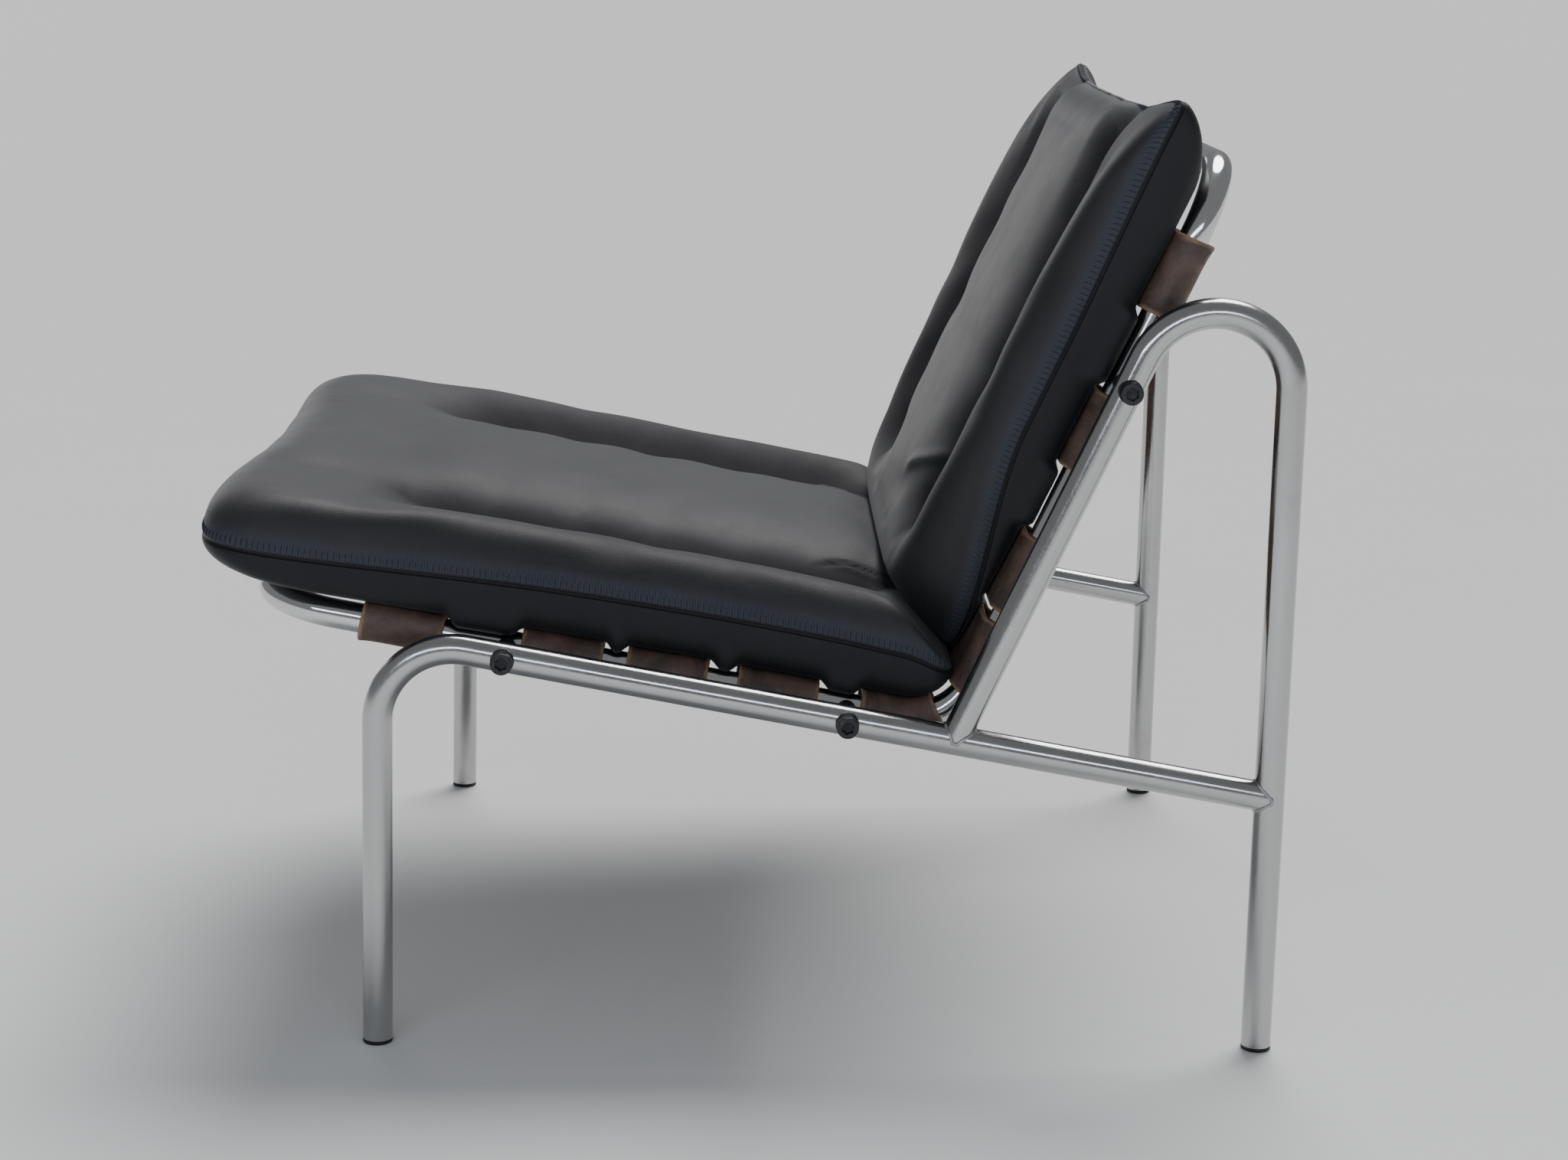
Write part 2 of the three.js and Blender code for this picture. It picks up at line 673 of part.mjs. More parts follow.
// Back cushion, in a frame with y up along the back tube and z in front of it
function backCushion() {
	const foot = backFoot + (backFootSeamHeight - cushionBase) * Math.tan(backFootTilt);
	const top = backReach + backTopRise;
	const place = (a, b, upper) => {
		const rounded = 1 - Math.min(b / backFootRoundShare, 1);
		const waist = THREE.MathUtils.lerp(backFootHalfWidth, backWaistHalfWidth, Math.sqrt(1 - rounded * rounded));
		const half = waist + (backTopHalfWidth - backWaistHalfWidth) * b * b;
		const x = acrossPlace(a, half);
		const reach = THREE.MathUtils.lerp(foot, top + backEarRise * a * a, b);
		const seamShare = THREE.MathUtils.smoothstep(reach, foot, backSeamBend);
		const height = sheetHeight(upper, {
			seam: THREE.MathUtils.lerp(backFootSeamHeight, backSeamHeight, seamShare),
			crown: backCrown,
			dip: channelDip(x, reach, backChannelStart, backChannelEnd),
			sling: {
				flat: slingSurface(x, Math.max(reach, bendReach), backReach),
				bent: slingSurface(x, reach, backReach),
			},
			meeting: meetingOverBack(reach),
			x,
			half,
			b,
		});
		return new THREE.Vector3(x, reach, height);
	};
	return cushionGeometry(place);
}

// Everything that lies on the seat or on the back, turned with it
function slopingGroup(turn) {
	const group = new THREE.Group();
	group.position.set(0, cornerY, cornerZ);
	group.rotation.x = turn;
	return group;
}

function addSideFrames(chair) {
	for (const [sideName, side] of [['left', -1], ['right', 1]]) {
		chair.add(named(`front_leg_and_rail_${sideName}`, geometryOf(frontLegAndRail(side)), steelMaterial()));
		chair.add(named(`back_arch_and_rear_leg_${sideName}`, geometryOf(backArchAndRearLeg(side)), steelMaterial()));
		for (const [endName, y] of [['front', -rearLegY], ['rear', rearLegY]]) {
			chair.add(named(`glide_${endName}_${sideName}`, glide(side * halfFrame, y), gliderMaterial()));
		}
	}
}

function addSling(chair) {
	chair.add(named('sling_ring', geometryOf(slingRing()), ringMaterial()));
	const spans = strapSpans();
	const underSeat = spans.filter(([start, end]) => start + end < 0);
	const behindBack = spans.slice(underSeat.length);
	underSeat.forEach((span, i) => chair.add(named(`seat_strap_${i + 1}`, strap(span), saddleMaterial())));
	behindBack.forEach((span, i) => chair.add(named(`back_strap_${i + 1}`, strap(span), saddleMaterial())));
}

function addBoltedJoints(chair) {
	const screw = capScrew();
	for (const [sideName, side] of [['left', -1], ['right', 1]]) {
		for (const [placeName, direction, reach] of boltPlaces) {
			const label = `${placeName}_${sideName}`;
			const screwSolid = placeAtBolt(screw, side, direction, reach);
			const washerSolid = saddleWasher(side, direction, reach);
			const spacerSolid = spacer(side, direction, reach);
			const insertSolid = threadedInsert(side, direction, reach);
			chair.add(named(`cap_screw_${label}`, geometryOf(screwSolid), blackSteelMaterial()));
			chair.add(named(`saddle_washer_${label}`, geometryOf(washerSolid), blackSteelMaterial()));
			chair.add(named(`spacer_${label}`, geometryOf(spacerSolid), blackSteelMaterial()));
			chair.add(named(`threaded_insert_${label}`, geometryOf(insertSolid), zincMaterial()));
		}
	}
}

function addCushions(chair) {
	const seat = slopingGroup(-railDrop);
	seat.add(named('seat_cushion', seatCushion(), leatherMaterial()));
	const back = slopingGroup(Math.PI / 2 - backRake);
	back.add(named('back_cushion', backCushion(), leatherMaterial()));
	chair.add(seat, back);
}

function loungeChair() {
	const chair = new THREE.Group();
	addSideFrames(chair);
	addSling(chair);
	addBoltedJoints(chair);
	addCushions(chair);
	const box = new THREE.Box3().setFromObject(chair, true);
	chair.position.y = -(box.min.y + box.max.y) / 2;
	return chair;
}

export default loungeChair();
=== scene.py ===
"""Looks of a low lounge chair: bent tube side frames, a bolted sling ring with leather straps, and two cushions.

Lengths are in metres, in the frame of the packed model: +X to the near side, +Y to the rear, +Z up.
"""

import math

import bpy
import numpy as np
from mathutils import Matrix, Vector


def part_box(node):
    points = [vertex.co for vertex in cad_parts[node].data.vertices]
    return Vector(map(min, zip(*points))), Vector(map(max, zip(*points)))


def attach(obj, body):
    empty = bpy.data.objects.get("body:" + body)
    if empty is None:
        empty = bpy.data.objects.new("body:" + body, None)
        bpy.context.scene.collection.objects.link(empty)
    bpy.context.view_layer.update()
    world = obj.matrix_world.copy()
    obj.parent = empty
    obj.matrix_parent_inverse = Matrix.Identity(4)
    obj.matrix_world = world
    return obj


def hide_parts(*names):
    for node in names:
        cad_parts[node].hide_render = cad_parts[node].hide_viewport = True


bl_info = {
    "name": "Lounge chair with a strap sling",
    "version": (1, 0, 0),
    "blender": (4, 5, 0),
    "location": "3D View > Sidebar > Chair",
    "description": "Builds the tubes, straps, bolts and leather cushions of a low lounge chair over its CAD frame",
    "category": "Object",
}

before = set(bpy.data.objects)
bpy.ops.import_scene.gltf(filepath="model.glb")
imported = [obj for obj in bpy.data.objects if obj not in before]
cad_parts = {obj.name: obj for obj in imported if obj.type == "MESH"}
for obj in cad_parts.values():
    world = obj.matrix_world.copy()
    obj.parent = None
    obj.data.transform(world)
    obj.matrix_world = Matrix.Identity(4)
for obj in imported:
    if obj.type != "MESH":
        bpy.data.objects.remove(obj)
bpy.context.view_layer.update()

SIDES = (("left", -1), ("right", 1))


def middle_of(node):
    """Middle of a CAD node's box."""
    low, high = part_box(node)
    return (low + high) / 2


# Side view of the frame, from the glides under its legs and the angles of its tubes.
# Reaches run from the corner where rail and back tube meet.
FRONT_LEG_Y = middle_of("glide_front_right").y
REAR_LEG_Y = middle_of("glide_rear_right").y
HALF_FRAME = middle_of("glide_rear_right").x
GLIDE_HEIGHT = 0.003
RING_INSET = 0.035
HALF_RING = HALF_FRAME - RING_INSET
RAIL_WELD_HEIGHT = 0.1946
CORNER_SET_IN = 0.2315
RAIL_DROP = math.radians(10.19)
BACK_RAKE = math.radians(24.28)
FRONT_LEG_SPLAY = math.radians(1.02)
BEND_RADIUS = 0.055
SEAT_REACH = 0.511
BACK_REACH = 0.4485
FRONT_BOLT_REACH = 0.3306
REAR_BOLT_REACH = 0.0789
BACK_BOLT_REACH = 0.2828
CORNER_Y = REAR_LEG_Y - CORNER_SET_IN
CORNER_Z = RAIL_WELD_HEIGHT + CORNER_SET_IN * math.tan(RAIL_DROP)
SLING_TURN = math.pi / 2 + RAIL_DROP - BACK_RAKE
BEND_REACH = BEND_RADIUS * math.tan(SLING_TURN / 2)
HALF_BEND = BEND_RADIUS * SLING_TURN / 2
GAP = 0.0003


def lerp(start, end, share):
    return start + (end - start) * share


def smoothstep(value, low, high):
    share = np.clip((value - low) / (high - low), 0, 1)
    return share * share * (3 - 2 * share)


def between(value, start, end, rise, fall):
    """One between start and end, eased up over the rise after start and down over the fall before end."""
    return smoothstep(value, start, start + rise) * smoothstep(value, end, end - fall)


def seat_points(x, reach, height):
    """Points from seat measures: reach runs forward up the rail from the corner under the back, height is off it."""
    x, reach, height = np.broadcast_arrays(x, reach, height)
    y = CORNER_Y - reach * math.cos(RAIL_DROP) + height * math.sin(RAIL_DROP)
    z = CORNER_Z + reach * math.sin(RAIL_DROP) + height * math.cos(RAIL_DROP)
    return np.stack([x, y, z], -1)


def back_points(x, reach, height):
    """Points from back measures: reach runs up the back tube from the same corner, height stands forward off it."""
    x, reach, height = np.broadcast_arrays(x, reach, height)
    y = CORNER_Y + reach * math.sin(BACK_RAKE) - height * math.cos(BACK_RAKE)
    z = CORNER_Z + reach * math.cos(BACK_RAKE) + height * math.sin(BACK_RAKE)
    return np.stack([x, y, z], -1)


def sling_frame(distance):
    """Middle line of the sling in side view, with its direction and its face, from the distance along it.

    Zero is the middle of the bend, negative to the front. The face turns evenly through the bend,
    and the line is the bend's centre less the radius along the face, plus the straight run beyond the bend."""
    distance = np.asarray(distance, float)
    on_bend = np.clip(distance, -HALF_BEND, HALF_BEND)
    angle = SLING_TURN * (on_bend / (2 * HALF_BEND) + 0.5) - RAIL_DROP
    zero = np.zeros_like(angle)
    face = np.stack([zero, -np.sin(angle), np.cos(angle)], -1)
    along = np.stack([zero, np.cos(angle), np.sin(angle)], -1)
    centre = seat_points(0.0, BEND_REACH, BEND_RADIUS)
    point = centre - BEND_RADIUS * face + (distance - on_bend)[..., None] * along
    return point, along, face


# Sizes and colours that a user would change

DRAWN_CHANNEL_DEPTH = 0.019


def length_property(name, description, default, low, high):
    return bpy.props.FloatProperty(
        name=name, description=description, default=default, min=low, max=high, unit="LENGTH"
    )


def colour_property(name, description, default):
    return bpy.props.FloatVectorProperty(
        name=name, description=description, default=default, min=0, max=1, subtype="COLOR"
    )


class ChairSizes(bpy.types.PropertyGroup):
    """Sizes of the chair's stock and of the scene's finer detail."""

    tube_diameter: length_property("Tube diameter", "Outside diameter of the bent steel tube", 0.022, 0.018, 0.028)
    tube_wall: length_property("Tube wall", "Wall thickness of the steel tube", 0.002, 0.001, 0.004)
    strap_thickness: length_property("Strap thickness", "Thickness of the saddle leather", 0.004, 0.002, 0.006)
    strap_sag: length_property("Strap sag", "How far the straps hang in the middle of the chair", 0.009, 0, 0.03)
    strap_curl: length_property(
        "Strap curl", "How far the straps' edges stand off where they turn round the tube", 0.0018, 0, 0.008
    )
    channel_depth: length_property(
        "Channel depth", "Depth of the seat's sewn channels, with which the back's change", DRAWN_CHANNEL_DEPTH, 0, 0.03
    )
    gather_spacing: length_property(
        "Gather spacing", "Distance between the gathers along a channel", 0.062, 0.03, 0.12
    )
    stitch_spacing: length_property(
        "Stitch spacing", "Distance between the cross stitches along a seam", 0.0042, 0.003, 0.01
    )


class ChairColours(bpy.types.PropertyGroup):
    """Base colours of the chair's finishes."""

    steel: colour_property("Side frames", "Colour of the dulled steel tubes", (0.48, 0.48, 0.48))
    bright_steel: colour_property("Sling ring", "Colour of the bright plated ring", (0.64, 0.64, 0.64))
    black_steel: colour_property(
        "Screws", "Colour of the blackened screws, washers and spacers", (0.034, 0.034, 0.038)
    )
    saddle: colour_property("Straps", "Colour of the worn saddle leather", (0.095, 0.060, 0.046))
    cover: colour_property("Cushions", "Colour of the cushions' charcoal leather", (0.0230, 0.0220, 0.0250))
    # The cushions' sides are a darker, bluer copy of the cushion colour: painted shade
    cover_side_shade: colour_property(
        "Cushion sides", "Colour of the smoother leather on the cushions' sides", (0.0065, 0.0070, 0.0100)
    )
    floor: colour_property("Floor", "Colour of the plain floor", (0.82, 0.82, 0.81))


# Meshes from grids of points

def grid_faces(rows, columns, wrap_rows=False, wrap_columns=False):
    """Quads between neighbouring rows and columns, joined round to the first where the grid wraps."""
    row, column = np.meshgrid(
        np.arange(rows if wrap_rows else rows - 1),
        np.arange(columns if wrap_columns else columns - 1),
        indexing="ij",
    )
    next_row, next_column = (row + 1) % rows, (column + 1) % columns
    corners = [
        row * columns + column,
        row * columns + next_column,
        next_row * columns + next_column,
        next_row * columns + column,
    ]
    return np.stack(corners, -1).reshape(-1, 4)


def outward(points, faces):
    """Faces turned so that the volume that they close is positive."""
    a, b, c, d = (points[faces[:, i]] for i in range(4))
    volume = np.einsum("ij,ij->", a, np.cross(b, c)) + np.einsum("ij,ij->", a, np.cross(c, d))
    return faces if volume > 0 else faces[:, ::-1]


def read(items, key, width=1, kind=float):
    """One property of all of a mesh's items as an array, in rows where it has more than one number."""
    values = np.empty(len(items) * width, kind)
    items.foreach_get(key, values)
    return values.reshape(-1, width) if width > 1 else values


def mesh_from(name, points, faces, uv=None, smooth_angle=None):
    """A mesh from an array of points and an array of quads; quads with a repeated corner become triangles."""
    points = np.asarray(points, float).reshape(-1, 3)
    faces = outward(points, np.asarray(faces))
    mesh = bpy.data.meshes.new(name)
    mesh.from_pydata(points.tolist(), [], [list(dict.fromkeys(face)) for face in faces.tolist()])
    mesh.validate()
    mesh.polygons.foreach_set("use_smooth", np.ones(len(mesh.polygons), bool))
    if uv is not None:
        corners = read(mesh.loops, "vertex_index", kind=int)
        layer = mesh.uv_layers.new(name="Surface")
        layer.data.foreach_set("uv", np.asarray(uv, float).reshape(-1, 2)[corners].ravel())
    if smooth_angle is not None:
        mesh.set_sharp_from_angle(angle=smooth_angle)
    mesh.update()
    return mesh


def capped(rings):
    """Points and quads of a skin of closed rings whose first and last ring close in a fan on their own middle."""
    rows, columns = rings.shape[:2]
    points = np.concatenate([rings.reshape(-1, 3), rings[0].mean(0)[None], rings[-1].mean(0)[None]])
    start, end = rows * columns, rows * columns + 1
    here = np.arange(columns)
    after = (here + 1) % columns
    first = np.stack([np.full(columns, start), after, here, here], -1)
    last_row = (rows - 1) * columns
    last = np.stack([np.full(columns, end), last_row + here, last_row + after, last_row + after], -1)
    return points, np.concatenate([grid_faces(rows, columns, wrap_columns=True), first, last])


def several(parts):
    """Points and quads of many closed skins as one."""
    offset, all_points, all_faces = 0, [], []
    for points, faces in parts:
        all_points.append(points)
        all_faces.append(faces + offset)
        offset += len(points)
    return np.concatenate(all_points), np.concatenate(all_faces)


def add_piece(name, mesh, material, stands_for=()):
    """An object of the chair, riding on its one body, with its finish and the CAD nodes that it stands for."""
    piece = bpy.data.objects.new(name, mesh)
    bpy.context.scene.collection.objects.link(piece)
    mesh.materials.clear()
    mesh.materials.append(material)
    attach(piece, "root")
    if stands_for:
        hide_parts(*stands_for)
    return piece


# Tubes

def unit(vector):
    return vector / np.linalg.norm(vector, axis=-1, keepdims=True)


def turned_about(vector, axis, angle):
    """Vector turned about an axis: its part along the axis stays, the rest turns by cosine and sine."""
    cosine, sine = np.cos(angle)[..., None], np.sin(angle)[..., None]
    return vector * cosine + np.cross(axis, vector) * sine + axis * np.dot(vector, axis) * (1 - cosine)


def bent_path(corners, face, steps, closed=False):
    """Points, directions and faces along straight runs joined by arcs of the bend radius at each corner."""
    corners = [np.asarray(corner, float) for corner in corners]
    count = len(corners)
    points, directions, faces = [], [], []
    bends = range(count) if closed else range(1, count - 1)
    for i in bends:
        before, corner, after = corners[i - 1], corners[i], corners[(i + 1) % count]
        incoming, outgoing = unit(corner - before), unit(after - corner)
        turn = math.acos(np.clip(np.dot(incoming, outgoing), -1, 1))
        axis = unit(np.cross(incoming, outgoing))
        start = corner - incoming * BEND_RADIUS * math.tan(turn / 2)
        centre = start + BEND_RADIUS * np.cross(axis, incoming)
        angle = np.linspace(0, turn, max(3, round(steps * turn / (math.pi / 2))))
        points.append(centre + turned_about(start - centre, axis, angle))
        directions.append(turned_about(incoming, axis, angle))
        faces.append(turned_about(np.asarray(face, float), axis, angle))
        face = faces[-1][-1]
    if not closed:
        points = [corners[0][None], *points, corners[-1][None]]
        directions = [directions[0][:1], *directions, directions[-1][-1:]]
        faces = [faces[0][:1], *faces, faces[-1][-1:]]
    return np.concatenate(points), np.concatenate(directions), np.concatenate(faces)


def tube_rings(path, radius, sides):
    """Circles of the tube's radius round each station of a path."""
    points, directions, faces = path
    angle = np.linspace(0, 2 * math.pi, sides, endpoint=False)
    across = np.cross(directions, faces)
    spoke = faces[:, None] * np.cos(angle)[None, :, None] + across[:, None] * np.sin(angle)[None, :, None]
    return points[:, None] + radius * spoke


def coped(ring, direction, mate_point, mate_direction, mate_radius):
    """A tube's last ring slid along the tube until it lies on the mating tube's surface.

    Each point slides by the first root of the squared distance from the mate's axis less its squared radius."""
    direction = np.asarray(direction, float)
    mate_direction = np.asarray(mate_direction, float)
    offset = ring - np.asarray(mate_point, float)
    square_to = offset - (offset @ mate_direction)[:, None] * mate_direction
    travel = direction - (direction @ mate_direction) * mate_direction
    a = travel @ travel
    b = square_to @ travel
    c = np.einsum("ij,ij->i", square_to, square_to) - mate_radius ** 2
    slide = (-b - np.sqrt(np.maximum(b * b - a * c, 0))) / a
    return ring + slide[:, None] * direction


def hollow_tube(path, radius, bore, sides, cope_start=None, cope_end=None):
    """Outer skin out along the path and bore back, joined at both ends, each end flat or slid to a mating tube."""
    skins = []
    for size in (radius, bore):
        rings = tube_rings(path, size, sides)
        if cope_start is not None:
            rings[0] = coped(rings[0], -path[1][0], *cope_start)
        if cope_end is not None:
            rings[-1] = coped(rings[-1], path[1][-1], *cope_end)
        skins.append(rings)
    rings = np.concatenate([skins[0], skins[1][::-1]])
    return rings.reshape(-1, 3), grid_faces(*rings.shape[:2], wrap_rows=True, wrap_columns=True)


def weld_bead(ring, centres_own, direction_own, mate_point, mate_direction, size):
    """A rippled bead along the line where a coped tube meets its mate.

    Its middle is the coped ring, its section a circle spanned by the sum of both tubes' outward directions
    and the line's own side, and its radius swells a little once for every ripple along the line."""
    mate_direction = np.asarray(mate_direction, float)
    own = ring - centres_own
    own = unit(own - (own @ direction_own)[:, None] * direction_own)
    mate = ring - np.asarray(mate_point, float)
    mate = unit(mate - (mate @ mate_direction)[:, None] * mate_direction)
    out = unit(own + mate)
    along = unit(np.roll(ring, -1, 0) - np.roll(ring, 1, 0))
    side = unit(np.cross(along, out))
    length = np.concatenate([[0], np.cumsum(np.linalg.norm(np.diff(ring, axis=0), axis=1))])
    ripple = 1 + 0.10 * np.sin(length / 0.0011)
    angle = np.linspace(0, 2 * math.pi, 12, endpoint=False)
    radius = (size * ripple)[:, None, None]
    rings = ring[:, None] + radius * (
        out[:, None] * np.cos(angle)[None, :, None] + side[:, None] * np.sin(angle)[None, :, None]
    )
    return rings.reshape(-1, 3), grid_faces(*rings.shape[:2], wrap_rows=True, wrap_columns=True)


# Materials

class Nodes:
    """Short calls for building one material's node tree."""

    def __init__(self, name):
        self.material = bpy.data.materials.new(name)
        self.material.use_nodes = True
        self.tree = self.material.node_tree
        self.tree.nodes.clear()
        self.shader = self.add("ShaderNodeBsdfPrincipled")
        output = self.add("ShaderNodeOutputMaterial")
        self.link(self.shader.outputs["BSDF"], output.inputs["Surface"])

    def add(self, kind, **values):
        node = self.tree.nodes.new(kind)
        for key, value in values.items():
            setattr(node, key, value)
        return node

    def link(self, source, target):
        self.tree.links.new(source, target)

    def feed(self, value, target):
        if isinstance(value, bpy.types.NodeSocket):
            self.link(value, target)
        elif value is not None:
            target.default_value = value

    def give(self, node, **values):
        """A node with constants set on its inputs, named with underscores for spaces."""
        for key, value in values.items():
            node.inputs[key.replace("_", " ")].default_value = value
        return node

    def set(self, **values):
        self.give(self.shader, **values)

    def attribute(self, name):
        return self.add("ShaderNodeAttribute", attribute_name=name).outputs["Fac"]

    def object_place(self):
        return self.add("ShaderNodeTexCoord").outputs["Object"]

    def surface_place(self):
        return self.add("ShaderNodeUVMap", uv_map="Surface").outputs["UV"]

    def noise(self, place, scale, detail=2.0, roughness=0.5, distortion=0.0, stretch=None):
        if stretch is not None:
            mapping = self.give(self.add("ShaderNodeMapping"), Scale=stretch)
            self.link(place, mapping.inputs["Vector"])
            place = mapping.outputs["Vector"]
        node = self.give(
            self.add("ShaderNodeTexNoise"), Scale=scale, Detail=detail, Roughness=roughness, Distortion=distortion
        )
        self.link(place, node.inputs["Vector"])
        return node.outputs["Fac"]

    def cells(self, place, scale):
        node = self.give(self.add("ShaderNodeTexVoronoi"), Scale=scale)
        self.link(place, node.inputs["Vector"])
        return node.outputs["Distance"]

    def ramp(self, value, low, high, start=0.0, end=1.0):
        """The value carried from low and high over to start and end, eased at both."""
        node = self.add("ShaderNodeMapRange", interpolation_type="SMOOTHSTEP")
        self.give(node, From_Min=low, From_Max=high, To_Min=start, To_Max=end)
        self.feed(value, node.inputs["Value"])
        return node.outputs["Result"]

    def math(self, operation, first, second=None):
        node = self.add("ShaderNodeMath", operation=operation)
        self.feed(first, node.inputs[0])
        self.feed(second, node.inputs[1])
        return node.outputs["Value"]

    def times(self, first, second):
        return self.math("MULTIPLY", first, second)

    def mix(self, share, first, second):
        node = self.add("ShaderNodeMix", data_type="RGBA")
        self.feed(share, node.inputs[0])
        for socket, value in ((node.inputs[6], first), (node.inputs[7], second)):
            self.feed(value + (1.0,) if isinstance(value, tuple) else value, socket)
        return node.outputs[2]

    def split(self, place):
        node = self.add("ShaderNodeSeparateXYZ")
        self.link(place, node.inputs["Vector"])
        return node.outputs

    def bump(self, height, distance, strength=1.0, normal=None):
        node = self.give(self.add("ShaderNodeBump"), Distance=distance, Strength=strength)
        self.link(height, node.inputs["Height"])
        if normal is not None:
            self.link(normal, node.inputs["Normal"])
        return node.outputs["Normal"]

    def colour(self, value):
        self.feed(value, self.shader.inputs["Base Color"])

    def roughness(self, value):
        self.feed(value, self.shader.inputs["Roughness"])

    def normal(self, value):
        self.feed(value, self.shader.inputs["Normal"])


def scaled(colour, factor):
    return tuple(min(1.0, float(value) * factor) for value in colour)


def steel_finish(name, colour, low, high, haze):
    """Plated steel: fine drawn scratches, specks and cloudy dulling in the roughness, tarnish in the colour."""
    nodes = Nodes(name)
    place = nodes.object_place()
    nodes.set(Metallic=1.0)
    clouds = nodes.noise(place, 9.0, 4.0, 0.6)
    specks = nodes.noise(place, 420.0, 2.0, 0.7)
    scratches = nodes.noise(place, 60.0, 3.0, 0.6, 0.4, stretch=(1.0, 14.0, 14.0))
    dulled = nodes.times(nodes.ramp(clouds, 0.4, 0.7), haze)
    nodes.roughness(nodes.math("ADD", nodes.ramp(specks, 0.3, 0.75, low, high), dulled))
    tarnish = nodes.ramp(nodes.noise(place, 30.0, 5.0, 0.65), 0.55, 0.8, 0.0, 0.35)
    nodes.colour(nodes.mix(tarnish, tuple(colour), scaled(colour, 0.72)))
    nodes.normal(nodes.bump(scratches, 0.00004, 0.35))
    return nodes.material


def black_finish(name, colour):
    """Blackened steel, slightly mottled, worn brighter where it was handled."""
    nodes = Nodes(name)
    place = nodes.object_place()
    nodes.set(Metallic=0.55)
    mottle = nodes.noise(place, 260.0, 4.0, 0.6)
    nodes.colour(nodes.mix(nodes.ramp(mottle, 0.6, 0.8, 0.0, 0.6), tuple(colour), scaled(colour, 4.5)))
    nodes.roughness(nodes.ramp(mottle, 0.3, 0.8, 0.52, 0.30))
    nodes.normal(nodes.bump(mottle, 0.00005, 0.5))
    return nodes.material


def plastic_finish(name):
    """Black moulded plastic with scuffs."""
    nodes = Nodes(name)
    place = nodes.object_place()
    grain = nodes.noise(place, 700.0, 3.0, 0.6)
    scuffs = nodes.ramp(nodes.noise(place, 180.0, 3.0), 0.6, 0.75)
    nodes.colour(nodes.mix(scuffs, (0.011, 0.011, 0.012), (0.05, 0.048, 0.045)))
    nodes.roughness(nodes.ramp(grain, 0.3, 0.7, 0.55, 0.7))
    nodes.normal(nodes.bump(grain, 0.0001, 0.4))
    return nodes.material


def saddle_finish(name, colour):
    """Old saddle leather: mottled brown, scuffed tan on its edges, cracked and pitted grain.

    The surface map holds the place along the strap and, across it, one at the cut edges."""
    nodes = Nodes(name)
    place = nodes.object_place()
    across = nodes.split(nodes.surface_place())[1]
    blotches = nodes.noise(place, 26.0, 5.0, 0.62, 0.6)
    grain = nodes.cells(place, 900.0)
    pores = nodes.noise(place, 520.0, 4.0, 0.7)
    scuffs = nodes.noise(place, 75.0, 6.0, 0.72, 1.2)
    worn_edge = nodes.ramp(nodes.math("ADD", across, nodes.times(scuffs, 0.22)), 0.98, 1.12)
    worn_face = nodes.ramp(scuffs, 0.60, 0.76, 0.0, 0.8)
    body = nodes.mix(nodes.ramp(blotches, 0.32, 0.7), scaled(colour, 0.45), scaled(colour, 1.35))
    tan = (0.30, 0.185, 0.11)
    body = nodes.mix(nodes.times(worn_face, 0.55), body, tan)
    nodes.colour(nodes.mix(worn_edge, body, tan))
    nodes.roughness(nodes.ramp(scuffs, 0.35, 0.75, 0.42, 0.72))
    nodes.set(Specular_IOR_Level=0.45)
    first = nodes.bump(grain, 0.0004, 0.30)
    second = nodes.bump(pores, 0.0005, 0.35, first)
    nodes.normal(nodes.bump(scuffs, 0.0012, 0.45, second))
    return nodes.material


